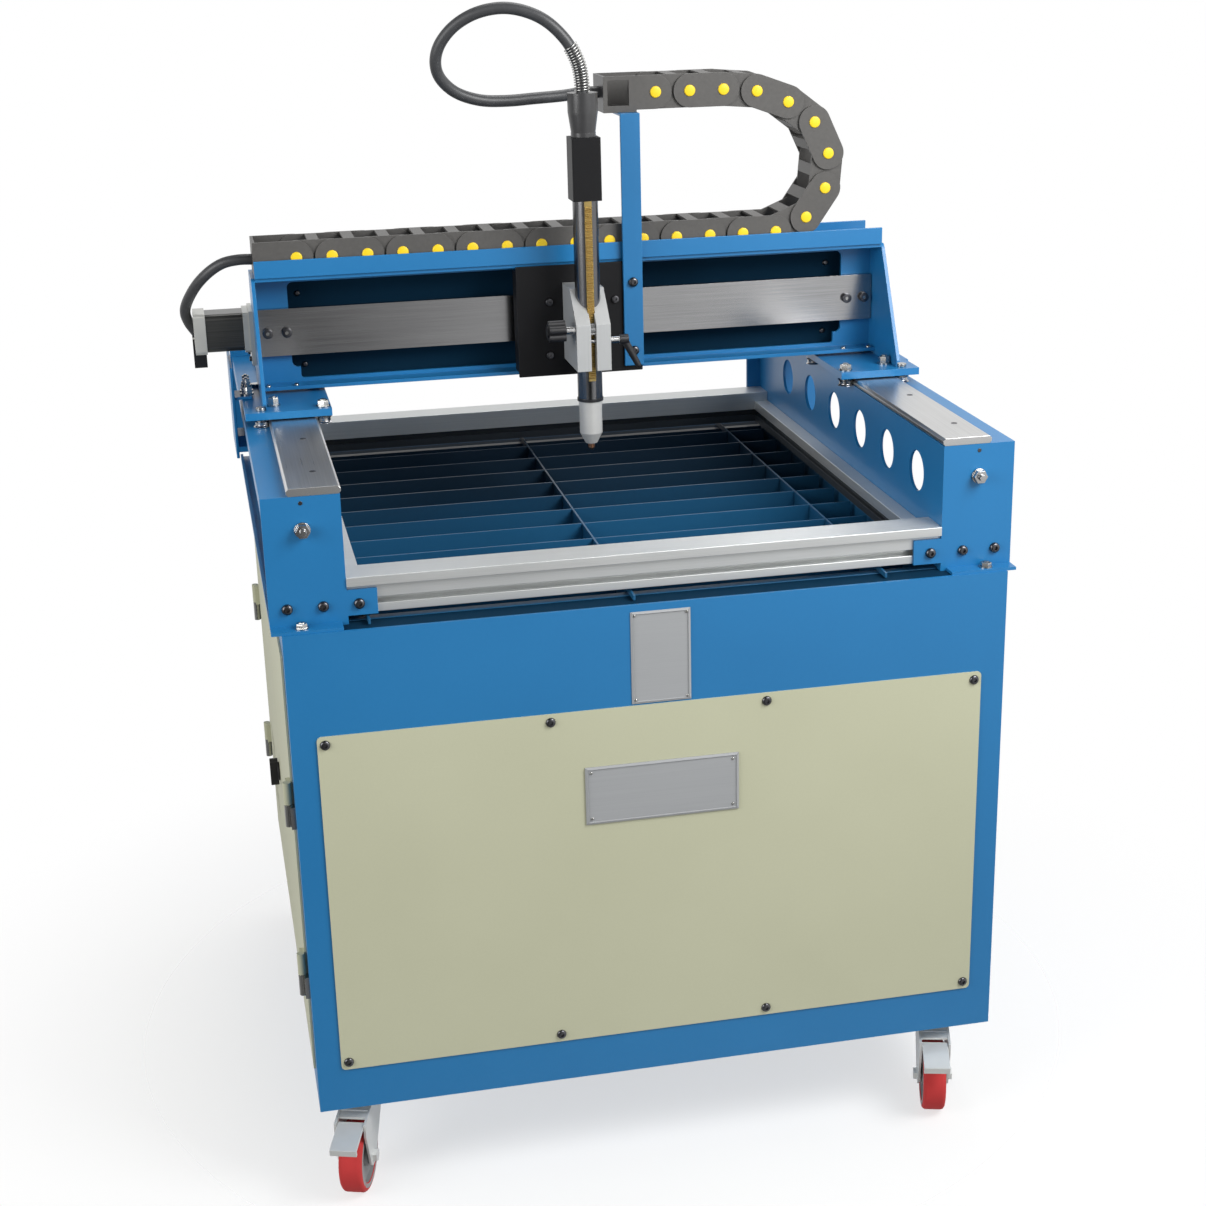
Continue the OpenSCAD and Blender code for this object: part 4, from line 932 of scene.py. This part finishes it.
@dataclass
class Studio:
    """Camera, soft light and a pale floor."""

    sensor: float = 36.0
    focal: float = 2050.616 / 1206
    far: float = 200.0
    shift: Pair = (-0.0193, 0.0228)
    eye: Point = (-0.5460, -2.8218, 1.6367)
    turn: float = -0.209279
    tilt: float = 0.341778
    roll: float = -0.021789
    lamps: tuple[tuple[str, Point, Point, float, float], ...] = (
        ("key_box", (1.20, -1.50, 2.25), (0.15, 0.0, 1.05), 1.2, 56.0),
        ("fill_box", (-2.9, -1.7, 1.8), (0.0, 0.0, 0.7), 2.0, 66.0),
        ("top_box", (0.4, 1.0, 3.4), (0.0, 0.0, 0.9), 1.8, 34.0),
    )
    left_wall: float = 0.34
    right_wall: float = 1.00
    back_wall: float = 1.00
    ceiling: float = 0.10
    ground: float = 0.5
    flag: Point = (-0.20, -0.95, -0.20)
    flag_tone: float = 0.05
    side_span: Pair = (-0.05, 0.35)
    back_span: Pair = (-0.2, 0.6)
    ceiling_span: Pair = (0.30, 0.75)
    ground_span: Pair = (-0.42, -0.16)
    flag_span: Pair = (0.946, 0.968)
    floor_size: float = 8.0
    floor_cuts: int = 4
    floor_waves: float = 2.0
    floor_roughness: float = 0.75
    floor_gloss: float = 0.1
    floor_span: Pair = (0.4, 1.2)
    floor_cover: float = 0.40
    floor_tones: tuple[Color, Color] = ((0.90, 0.90, 0.90), (0.94, 0.94, 0.94))

    def camera(self) -> None:
        """Sets the camera at the viewing angle of the photograph."""
        back = Vector((
            math.sin(self.turn) * math.cos(self.tilt),
            -math.cos(self.turn) * math.cos(self.tilt),
            math.sin(self.tilt),
        ))
        right = Vector((math.cos(self.turn), math.sin(self.turn), 0.0))
        up = back.cross(right)
        side = math.cos(self.roll) * right + math.sin(self.roll) * up
        top = -math.sin(self.roll) * right + math.cos(self.roll) * up
        data = bpy.data.cameras.new("camera")
        data.sensor_fit = "HORIZONTAL"
        data.sensor_width = self.sensor
        data.lens = self.focal * self.sensor
        data.shift_x, data.shift_y = self.shift
        data.clip_end = self.far
        camera = bpy.data.objects.new("camera", data)
        bpy.context.scene.collection.objects.link(camera)
        basis = Matrix((side, top, back)).transposed().to_4x4()
        camera.matrix_world = Matrix.Translation(self.eye) @ basis
        bpy.context.scene.camera = camera

    def light(self, name: str, spot: Point, aim: Point, size: float, power: float) -> None:
        """Adds one soft box.

        Args:
            name: its name.
            spot: where it hangs.
            aim: the point that it faces.
            size: its side in metres.
            power: its power in watts.
        """
        data = bpy.data.lights.new(name, "AREA")
        data.shape = "SQUARE"
        data.size = size
        data.energy = power
        lamp = bpy.data.objects.new(name, data)
        bpy.context.scene.collection.objects.link(lamp)
        lamp.location = spot
        lamp.rotation_euler = (Vector(aim) - Vector(spot)).to_track_quat("-Z", "Y").to_euler()

    def build(self) -> None:
        """Sets up light and floor."""
        bpy.context.scene.view_settings.view_transform = "Standard"
        self.sky()
        for lamp in self.lamps:
            self.light(*lamp)
        self.floor()

    def sky(self) -> None:
        """Makes the backdrop white; the table is lit by walls, a darker ceiling and a dark flag in front."""
        world = bpy.data.worlds.new("studio")
        world.use_nodes = True
        web = Web(world.node_tree)
        place = web.out(web.node("ShaderNodeTexCoord"), "Generated")
        split = web.node("ShaderNodeSeparateXYZ", sockets={0: place})
        across, depth, height = (web.out(split, axis) for axis in "XYZ")
        toward = Vector(self.flag).normalized()
        near = web.node("ShaderNodeVectorMath", {"operation": "DOT_PRODUCT"}, {0: place, 1: toward})
        front = web.graded(across, self.side_span, (self.left_wall, self.right_wall))
        wall = front + (self.back_wall - front) * web.graded(depth, self.back_span)
        above = web.graded(height, self.ceiling_span, (1.0, self.ceiling))
        below = web.graded(height, self.ground_span, (self.ground, 1.0))
        dim = web.graded(web.out(near, "Value"), self.flag_span, (1.0, self.flag_tone))
        power = wall * (above * below) * dim
        cast = web.node("ShaderNodeBackground", sockets={"Color": WHITE, "Strength": power})
        seen = web.node("ShaderNodeBackground", sockets={"Color": WHITE})
        share = web.out(web.node("ShaderNodeLightPath"), "Is Camera Ray")
        mix = web.node("ShaderNodeMixShader", sockets={0: share, 1: web.out(cast), 2: web.out(seen)})
        web.node("ShaderNodeOutputWorld", sockets={"Surface": web.out(mix)})
        bpy.context.scene.world = world

    def floor(self) -> None:
        """Lays a pale floor that fades out into the white backdrop."""
        Bench.clear()
        bpy.ops.mesh.primitive_plane_add(size=self.floor_size, location=(0.0, 0.0, 0.0))
        floor = bpy.context.object
        floor.name = "studio_floor"
        with Bench.editing(floor):
            bpy.ops.mesh.subdivide(number_cuts=self.floor_cuts)
        pale = Recipe("studio_floor")
        tone = pale.mix(pale.noise(self.floor_waves), *self.floor_tones)
        away = pale.node("ShaderNodeVectorMath", {"operation": "LENGTH"}, {0: pale.place})
        fade = pale.graded(pale.out(away, "Value"), self.floor_span, (self.floor_cover, 0.0))
        pale.feed(pale.shader, {
            "Base Color": tone,
            "Roughness": self.floor_roughness,
            "Specular IOR Level": self.floor_gloss,
            "Alpha": fade,
        })
        floor.data.materials.append(pale.material)


@dataclass
class Cords:
    """The torch hose with its spring, and the lead of the X motor."""

    hose_diameter: float = 0.016
    lead_diameter: float = 0.015
    wire: float = 0.001
    coil: float = 0.0096
    spring_turns: int = 17
    spring_length: float = 0.064
    spring_gap: float = 0.0001
    spring_points: int = 5
    spring_steps: int = 24
    coil_steps: int = 20
    cord_steps: int = 8
    cord_rings: int = 6
    hose_points: tuple[Point, ...] = (
        (0, -42, 1396), (-1, -42, 1416), (-6, -42, 1438), (-20, -41, 1464), (-44, -38, 1488),
        (-72, -33, 1502), (-103, -27, 1507), (-136, -19, 1501), (-164, -9, 1485), (-183, 1, 1462),
        (-189, 10, 1438), (-182, 19, 1416), (-160, 29, 1396), (-126, 39, 1384), (-88, 48, 1381),
        (-48, 57, 1382), (-8, 61, 1383.7), (20, 61, 1386.7), (43, 61, 1386.7),
    )
    lead_points: tuple[Point, ...] = (
        (-450, 61, 1181.7), (-470, 62, 1181.7), (-492, 66, 1176.7), (-514, 74, 1161.7), (-533, 90, 1138.7),
        (-546, 110, 1110), (-543, 126, 1088), (-531, 131.5, 1068),
    )

    def build(self) -> None:
        """Builds the cords and the spring."""
        self.hose()
        self.lead()
        self.spring()

    def line(self, points: Sequence[Point], steps: int) -> list[Vector]:
        """Route of a cord in metres."""
        return [p * MM for p in catmull(points, steps)]

    def hose(self) -> None:
        """Builds the hose from the torch to the end of the chain."""
        line = self.line(self.hose_points, self.cord_steps)
        piece = swept("torch_hose_rubber", line, self.hose_diameter / 2, self.cord_rings)
        RUBBER.apply(piece)
        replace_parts(piece, "torch_hose")
        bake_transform(piece)
        length_of(line)
        LOG.info("torch_hose_rubber bends between carriage and torch")

    def lead(self) -> None:
        """Builds the motor lead from the chain's fixed end to the motor."""
        line = self.line(self.lead_points, self.cord_steps)
        piece = swept("motor_lead_rubber", line, self.lead_diameter / 2, self.cord_rings)
        RUBBER.apply(piece)
        settle(piece, "gantry", ["motor_cable"])
        length_of(line)

    def spring(self) -> None:
        """Winds the strain spring round the first stretch of the hose."""
        line = self.line(self.hose_points[: self.spring_points], self.spring_steps)
        reach = [0.0]
        for a, b in zip(line, line[1:]):
            reach.append(reach[-1] + (b - a).length)
        steps = self.coil_steps
        last = self.spring_turns * steps
        coil = []
        side = Vector((1.0, 0.0, 0.0))
        for k in range(last + 1):
            run = self.wire + self.spring_gap + (self.spring_length - 2 * self.wire) * k / last
            i = max(j for j in range(len(reach) - 1) if reach[j] <= run)
            share = (run - reach[i]) / (reach[i + 1] - reach[i])
            middle = line[i].lerp(line[i + 1], share)
            way = (line[min(i + 2, len(line) - 1)] - line[max(i - 1, 0)]).normalized()
            side = (side - side.dot(way) * way).normalized()
            angle = math.tau * k / steps
            spoke = math.cos(angle) * side + math.sin(angle) * way.cross(side)
            coil.append(middle + self.coil * spoke)
        piece = swept("strain_spring_wire", coil, self.wire, rings=2)
        ZINC.apply(piece)
        settle(piece, "torch", ["strain_spring"])


@dataclass
class Cabinet:
    """Welded cabinet with its front panel, doors, blank plates and screws."""

    hinge_x: float = -0.4686
    lip_top: float = 0.8049
    lip_y: Pair = (0.3980, 0.4405)
    rim: float = 0.003
    rim_depth: float = 0.0004
    rivet_radius: float = 0.0022
    rivet_height: float = 0.0012
    rivet_sink: float = 0.0003
    plates: tuple[tuple[str, Point, Point, float], ...] = (
        ("data_plate", (-0.036, -0.4462, 0.672), (0.042, -0.4450, 0.796), 0.005),
        ("front_badge", (-0.100, -0.4492, 0.512), (0.104, -0.4470, 0.592), 0.008),
    )
    panel: ScrewRow = ScrewRow(
        "front_panel_screws", DARK_STEEL, Head.BUTTON, 0.0065, 0.0032,
        facing(FRONT, grid((-0.426, -0.142, 0.142, 0.426), (-0.447,), (0.209, 0.659))),
    )
    rows: tuple[ScrewRow, ...] = (
        ScrewRow("end_plate_bolts", DARK_STEEL, Head.BUTTON, 0.0068, 0.0050,
                 both_sides(FRONT, grid((0.458, 0.414, 0.370), (-0.420,), (0.831,)))),
        ScrewRow("flange_bolts", ZINC, Head.HEX, 0.0075, 0.007, both_sides(UP, [(0.4425, -0.431, 0.809)])),
    )

    def build(self) -> None:
        """Builds the cabinet."""
        shell = dress("cabinet_shell", BLUE, edge=0.0011)
        ZINC.apply_where(shell, lambda c: c.x < self.hinge_x)
        # Painted shade on the deck inside the front and rear edges
        self.paint_lip_shade(shell)
        for node in ("front_panel", "front_door", "rear_door"):
            dress(node, CREAM, edge=0.0007)
        dress("door_latch", BLACK_PLASTIC, edge=0.0008)
        dress("control_box", BOX_GREY, edge=0.0008)
        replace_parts(self.panel.place("table"), "table_screws")
        for row in self.rows:
            row.place("table")
        for plate in self.plates:
            self.plate(*plate)

    def paint_lip_shade(self, shell: Piece) -> None:
        """Paints shade on the deck inside the cabinet's front and rear edges, below the rails.

        Args:
            shell: the dressed cabinet.
        """
        with Bench.editing(shell):
            for y in (*self.lip_y, *(-y for y in self.lip_y)):
                Bench.pick(shell, lambda middle, normal: normal.z > Bench.TOWARD and middle.z > self.lip_top)
                bpy.ops.mesh.bisect(plane_co=(0.0, y, 0.0), plane_no=BACK)
        Bench.flatten(shell)
        near, far = self.lip_y
        PAINTED_SHADE_BLUE.apply_where(shell, lambda c: c.z > self.lip_top and near < abs(c.y) < far)

    def plate(self, name: str, low: Point, high: Point, inset: float) -> None:
        """Adds one blank plate with a raised rim and four rivets.

        Args:
            name: its name.
            low: lowest corner.
            high: highest corner.
            inset: distance of the rivets from its edges.
        """
        plate = Bench.block(name, low, high, edge=0.0005)
        with Bench.editing(plate):
            Bench.pick(plate, lambda middle, normal: normal.y < -Bench.TOWARD)
            bpy.ops.mesh.inset(thickness=self.rim)
            bpy.ops.mesh.extrude_region_move(TRANSFORM_OT_translate={"value": (0.0, self.rim_depth, 0.0)})
        Bench.shade(plate)
        Bench.flatten(plate)
        PLATE_ALU.apply(plate)
        settle(plate, "table")
        xs, zs = ((low[k] + inset, high[k] - inset) for k in (0, 2))
        spots = facing(FRONT, grid(xs, (low[1] + self.rivet_sink,), zs))
        rivets = ScrewRow(f"{name}_rivets", ZINC, Head.RIVET, self.rivet_radius, self.rivet_height, spots)
        rivets.place("table")


@dataclass
class Bed:
    """Slag tray, slat grid and rails of the bed."""

    edge: float = 0.0005
    inner_x: float = 0.3840
    inner_y: Pair = (-0.3695, 0.4080)
    # Top of the painted shade on the rails' inner faces
    painted_shade_top: float = 0.8410

    def build(self) -> None:
        """Dresses the bed."""
        # The tray and the slat grid take the blue with painted shade
        dress("slag_tray", SHADED_BED_BLUE, self.edge)
        dress("slat_grid", SHADED_BED_BLUE, self.edge)
        rails = dress("bed_rails", RAIL, edge=0.0008)
        # Painted shade on the lower inner faces of the rails
        SHADED_RAIL.apply_where(rails, self.in_painted_shade)

    def in_painted_shade(self, spot: Vector) -> bool:
        """True for a point on the lower half of the rails' inner faces, which takes painted shade."""
        inside = abs(spot.x) < self.inner_x and self.inner_y[0] < spot.y < self.inner_y[1]
        return inside and spot.z < self.painted_shade_top


@dataclass
class DriveScrew:
    """One drive screw with a five-start thread between its journals."""

    node: str
    start: Point
    end: Point
    crest: float = 0.0080
    root: float = 0.0069
    lead: float = 0.025
    starts: int = 5
    steps: int = 28
    spare_turns: int = 2
    shape: tuple[tuple[float, bool], ...] = ((0.0, True), (0.44, True), (0.58, False), (0.86, False))

    def build(self) -> None:
        """Builds the screw."""
        way = (Vector(self.end) - Vector(self.start)).normalized()
        tips = [self.tip(self.start, -way), self.tip(self.end, way)]
        piece = Bench.join(f"{self.node}_threaded", [self.thread(way), *tips])
        BRIGHT_STEEL.apply(piece)
        settle(piece, frame["nodes"][self.node]["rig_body"], [self.node])

    def tip(self, spot: Point, way: Vector) -> Piece:
        """Journal at one end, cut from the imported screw.

        Args:
            spot: where the thread ends.
            way: direction from there to the tip.

        Returns:
            The journal.
        """
        piece = copy_of(self.node, edge=0.0005)
        Bench.cut(piece, spot, tuple(way))
        return piece

    def thread(self, way: Vector) -> Piece:
        """Winds the thread and cuts it to length.

        Args:
            way: direction of the screw.

        Returns:
            The threaded stretch in place.
        """
        pitch = self.lead / self.starts
        outline = [
            (self.crest if high else self.root, 0.0, (k + share) * pitch)
            for k in range(self.starts)
            for share, high in self.shape
        ]
        outline.append((self.crest, 0.0, self.lead))
        mesh = bpy.data.meshes.new("thread")
        mesh.from_pydata(outline, [(k, k + 1) for k in range(len(outline) - 1)], [])
        piece = bpy.data.objects.new("thread", mesh)
        bpy.context.scene.collection.objects.link(piece)
        length = (Vector(self.end) - Vector(self.start)).length
        wind = piece.modifiers.new("wind", "SCREW")
        wind.screw_offset = self.lead
        wind.iterations = math.ceil(length / self.lead) + self.spare_turns
        wind.steps = wind.render_steps = self.steps
        Bench.hold(piece)
        bpy.ops.object.modifier_apply(modifier=wind.name)
        with Bench.editing(piece):
            bpy.ops.mesh.remove_doubles(threshold=Bench.WELD)
        Bench.cut(piece, (0.0, 0.0, self.lead), UP)
        Bench.cut(piece, (0.0, 0.0, self.lead + length), DOWN)
        with Bench.editing(piece):
            bpy.ops.mesh.normals_make_consistent(inside=False)
        piece.data.transform(stand(self.start, way) @ Matrix.Translation((0.0, 0.0, -self.lead)))
        Bench.shade(piece)
        return piece


@dataclass
class Beams:
    """Side beams with their guide bars, drive screws and motors."""

    screw_axis: Pair = (0.4325, 0.930)
    thread_y: Pair = (-0.4140, 0.4330)
    motor_core: Pair = (0.4492, 0.5008)
    rows: tuple[ScrewRow, ...] = (
        ScrewRow("guide_bar_screws", DARK_STEEL, Head.SUNK, 0.0042, 0.0004,
                 facing(UP, grid((-0.411, 0.426), (-0.345, -0.175, -0.005, 0.165, 0.335), (0.9819,)))),
        ScrewRow("front_plate_plugs", DARK_STEEL, Head.SUNK, 0.0026, 0.0005,
                 both_sides(FRONT, [(0.4325, -0.420, 0.9635)])),
        ScrewRow("rear_plate_bolts", ZINC, Head.HEX, 0.0070, 0.0070,
                 both_sides(BACK, grid((0.458, 0.414, 0.372), (0.441,), (0.831,)))),
        ScrewRow("y_motor_screws", DARK_STEEL, Head.SOCKET, 0.0028, 0.0014,
                 facing(BACK, grid((-0.455, -0.410, 0.410, 0.455), (0.5168,), (0.9075, 0.9525)))),
    )

    def build(self) -> None:
        """Builds the beams."""
        dress("left_beam", BLUE, edge=0.0014)
        dress("right_beam", BLUE, edge=0.0014)
        dress("guide_bars", BAR_Y, edge=0.0005)
        x, z = self.screw_axis
        for node, side in (("left_y_screw", -x), ("right_y_screw", x)):
            DriveScrew(node, (side, self.thread_y[0], z), (side, self.thread_y[1], z)).build()
        motors = dress("y_motors", MOTOR_CORE, edge=0.0008)
        front, rear = self.motor_core
        MOTOR_GREY.apply_where(motors, lambda c: c.y < front or c.y > rear)
        for row in self.rows:
            row.place("table")


@dataclass
class Gantry:
    """Gantry beam on its feet, with the X bar, the X screw, the X motor and the rollers."""

    recess_y: Pair = (0.0795, 0.1045)
    screw_end: float = 0.448
    screw_axis: Pair = (0.092, 1.080)
    motor_core: Pair = (-0.5208, -0.4692)
    connector: Point = (-0.47, 0.1206, 1.0514)
    rows: tuple[ScrewRow, ...] = (
        ScrewRow("x_bar_bolts", DARK_STEEL, Head.SOCKET, 0.0070, 0.0060,
                 both_sides(FRONT, grid((0.410, 0.4365), (0.0635,), (1.077,)))),
        ScrewRow("back_plate_screws", DARK_STEEL, Head.BUTTON, 0.0040, 0.0028,
                 both_sides(FRONT, [(0.3896, 0.104, 1.124), (0.3858, 0.104, 1.022)])),
        ScrewRow("low_flange_screws", ZINC, Head.BUTTON, 0.0040, 0.0026,
                 both_sides(UP, grid((0.442, 0.403), (0.0515,), (1.004,)))),
        ScrewRow("roller_nuts", ZINC, Head.HEX, 0.0082, 0.0090, both_sides(UP, [(0.3737, -0.049, 0.994)])),
        ScrewRow("foot_bolts", ZINC, Head.HEX, 0.0080, 0.0120, both_sides(UP, [(0.440, -0.025, 0.994)])),
        ScrewRow("bracket_nuts", ZINC, Head.HEX, 0.0080, 0.0120,
                 facing(UP, grid((-0.4725,), (0.038, 0.058), (0.998,)))),
        ScrewRow("bracket_bolts", ZINC, Head.HEX, 0.0055, 0.0110,
                 facing(UP, grid((-0.4725,), (0.038, 0.058), (1.010,)))),
        ScrewRow("gantry_back_screws", ZINC, Head.BUTTON, 0.0048, 0.0032,
                 both_sides(BACK, grid((0.425, 0.142), (0.109,), (1.012, 1.148)))),
        ScrewRow("motor_plate_screws", DARK_STEEL, Head.SOCKET, 0.0034, 0.0032,
                 facing(LEFT, grid((-0.461,), (0.068, 0.116), (1.042,)))),
    )

    def build(self) -> None:
        """Builds the gantry."""
        for node in ("gantry_end_plates", "gantry_feet", "drive_brackets", "chain_tray"):
            dress(node, BLUE, edge=0.0009)
        beam = dress("gantry_beam", BLUE, edge=0.0009)
        # Painted shade inside the beam's long window
        PAINTED_SHADE_BLUE.apply_where(beam, lambda c: self.recess_y[0] < c.y < self.recess_y[1])
        dress("x_guide_bar", BAR_X, edge=0.0006)
        DriveScrew("x_screw", (-self.screw_end, *self.screw_axis), (self.screw_end, *self.screw_axis)).build()
        self.motor()
        for side in "lr":
            for place in ("fi", "fo", "ri", "ro"):
                dress(f"roller_{side}{place}", BRIGHT_STEEL, edge=0.0004)
        dress("gantry_bolts", ZINC, edge=0.0005)
        for row in self.rows:
            row.place("gantry")

    def motor(self) -> None:
        """Dresses the X motor: dark core, grey ends and a black connector."""
        motor = dress("x_motor", MOTOR_CORE, edge=0.0008)
        left, right = self.motor_core
        MOTOR_GREY.apply_where(motor, lambda c: c.x > right or c.x < left)
        x, y, z = self.connector
        BLACK_PLASTIC.apply_where(motor, lambda c: c.x < x and (c.y > y or c.z < z))


@dataclass
class DragChain:
    """Drag chain from the gantry to the carriage."""

    pitch: float = 48.7
    turns: Row = (22, 33, 30, 30, 28, 17, 15, 5)
    straight: int = 15
    count: int = 24
    end_x: float = 117.0
    low_z: float = 1185.7
    middle_y: float = 61.0
    split: int = 17
    cap: ScrewRow = ScrewRow("chain_cap", CAP_YELLOW, Head.RIVET, 0.0080, 0.0018)
    cap_y: float = 34.1
    lower_reach: Pair = (-0.440, 1.174)
    upper_reach: Pair = (0.640, 0.094)
    connector_x: Pair = (0.02, 0.106)
    connector_y: Pair = (0.0275, 0.0950)
    connector_z: float = 1.38

    def pins(self) -> list[Pair]:
        """Places of the pins.

        Returns:
            X and Z of each pin in metres.
        """
        x = z = heading = 0.0
        spots = [(0.0, 0.0)]
        for i in range(self.count - 1):
            k = i - self.straight + 1
            heading += self.turns[k] if 0 <= k < len(self.turns) else 0.0
            x += self.pitch * math.cos(math.radians(heading))
            z += self.pitch * math.sin(math.radians(heading))
            spots.append((x, z))
        start = self.end_x - x
        return [((start + a) * MM, (self.low_z + b) * MM) for a, b in spots]

    def build(self) -> None:
        """Builds both runs with their caps."""
        pins = self.pins()
        self.run("chain_lower_run", pins[: self.split], self.lower_reach)
        self.run("chain_upper_run", pins[self.split:], self.upper_reach)

    def in_connector(self, spot: Vector) -> bool:
        """True for a point inside the connector at the chain's moving end."""
        inside = self.connector_y[0] < spot.y < self.connector_y[1]
        return inside and self.connector_x[0] < spot.x < self.connector_x[1] and spot.z > self.connector_z

    def run(self, node: str, pins: Sequence[Pair], reach: Pair) -> None:
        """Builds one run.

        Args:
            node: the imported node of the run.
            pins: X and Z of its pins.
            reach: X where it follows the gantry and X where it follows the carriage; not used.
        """
        links = copy_of(node, edge=0.0005)
        CHAIN_GREY.apply(links)
        BLACK_PLASTIC.apply_where(links, self.in_connector)
        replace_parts(links, node)
        cap = self.cap.pattern()
        copies = []
        for x, z in pins:
            for sign in SIDES:
                foot = Matrix.Translation((x, (self.middle_y + sign * self.cap_y) * MM, z))
                copies.append(Bench.copy_to(cap, foot @ Matrix.Rotation(-sign * math.pi / 2, 4, "X")))
        bpy.data.objects.remove(cap)
        caps = Bench.join(f"{node}_caps", copies)
        CAP_YELLOW.apply(caps)
        for piece in (links, caps):
            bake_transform(piece)
            LOG.info("%s bends between gantry and carriage", piece.name)


@dataclass
class Carriage:
    """Carriage plate, saddle, bracket and torch holder with its knob and lever."""

    lever_pin: float = 0.0375
    knob_shaft: float = -0.0383
    rows: tuple[ScrewRow, ...] = (
        ScrewRow("carriage_plate_screws", DARK_STEEL, Head.SOCKET, 0.005, 0.004,
                 facing(FRONT, [(-0.0439, 0.018, 1.1058), (0.0514, 0.018, 1.1044), (-0.045, 0.018, 1.030)])),
        ScrewRow("chain_bracket_screws", DARK_STEEL, Head.BUTTON, 0.0068, 0.005,
                 facing(FRONT, grid((0.077,), (0.013,), (1.030, 1.128)))),
    )

    def build(self) -> None:
        """Builds the carriage."""
        dress("carriage_plate", BLACK_PAINT, edge=0.0010)
        dress("carriage_saddle", CAST_ALU, edge=0.0008)
        dress("chain_bracket", BLUE, edge=0.0009)
        dress("torch_holder", CAST_ALU, edge=0.0008)
        lever = dress("clamp_lever", BLACK_PLASTIC, edge=0.0006)
        BRIGHT_STEEL.apply_where(lever, lambda c: c.x < self.lever_pin)
        knob = dress("height_knob", BLACK_PLASTIC, edge=0.0010)
        BRIGHT_STEEL.apply_where(knob, lambda c: c.x > self.knob_shaft)
        for row in self.rows:
            row.place("carriage")


@dataclass
class Torch:
    """Torch with barrel, rack, cap, cup and nozzle."""

    collar_z: float = 1.3382
    barrel_radius: float = 0.0175
    ring_radius: float = 0.0184
    ring_height: float = 0.0045
    ring_sides: int = 48
    ring_gap: float = 0.00005
    ring_foot: Point = (0.0, -0.042, 0.9752)

    def build(self) -> None:
        """Builds the torch."""
        dress("torch_barrel", SILVER, edge=0.0005)
        dress("torch_rack", BRASS, edge=0.00015)
        cap = dress("torch_cap", BLACK_PAINT, edge=0.0009)
        COLLAR_GREY.apply_where(cap, lambda c: c.z > self.collar_z)
        dress("shield_cup", CUP_GREY, edge=0.0006)
        dress("nozzle", COPPER, edge=0.0003)
        self.ring()

    def ring(self) -> None:
        """Adds the black ring between barrel and cup."""
        ring = Bench.disc("cup_ring", self.ring_radius, self.ring_height, self.ring_sides)
        with Bench.editing(ring):
            Bench.pick(ring, lambda middle, normal: abs(normal.z) > Bench.TOWARD)
            bpy.ops.mesh.inset(thickness=self.ring_radius - self.barrel_radius - self.ring_gap)
            bpy.ops.mesh.bridge_edge_loops()
        ring.data.transform(Matrix.Translation(self.ring_foot))
        Bench.round_edges(ring, edge=0.0003)
        BLACK_PLASTIC.apply(ring)
        settle(ring, "torch")


@dataclass
class Caster:
    """One swivel caster."""

    name: str
    side: tuple[int, int]
    heading: float
    braked: bool
    spread: Pair = (0.408, 0.381)
    trail: float = 0.041
    wheel_radius: float = 0.050
    hub_radius: float = 0.037

    def build(self) -> None:
        """Dresses fork, wheel and pedal."""
        dress(f"fork_{self.name}", CASTER_ZINC, edge=0.0007)
        wheel = dress(f"wheel_{self.name}", RED, edge=0.0012)
        HUB.apply_where(wheel, self.in_hub)
        if self.braked:
            dress(f"pedal_{self.name}", CASTER_ZINC, edge=0.0008)

    def in_hub(self, spot: Vector) -> bool:
        """Tells whether a point of the wheel is inside its hub.

        Args:
            spot: the point.

        Returns:
            True inside the hub.
        """
        angle = math.radians(self.heading)
        along = Vector((-math.sin(angle), math.cos(angle), 0.0))
        pivot = Vector((self.side[0] * self.spread[0], self.side[1] * self.spread[1], 0.0))
        reach = Vector((spot.x, spot.y, 0.0)) - (pivot - self.trail * along)
        return math.hypot(reach.dot(along), spot.z - self.wheel_radius) < self.hub_radius


def casters() -> list[Caster]:
    """The four casters of the table."""
    rows = (("fl", -1, -1, -19), ("fr", 1, -1, -16), ("rl", -1, 1, 160), ("rr", 1, 1, 195))
    return [Caster(name, (sx, sy), turn, name[0] == "f") for name, sx, sy, turn in rows]


def main() -> None:
    """Builds every sub-assembly in order."""
    logging.basicConfig(level=logging.INFO)
    studio = Studio()
    studio.camera()
    parts = (Cords(), Cabinet(), Bed(), Beams(), Gantry(), DragChain(), Carriage(), Torch(), *casters())
    for part in parts:
        part.build()
        LOG.info("%s done", type(part).__name__)
    dress("caster_plates", CASTER_ZINC, edge=0.0007)
    studio.build()


if __name__ == "__main__":
    main()
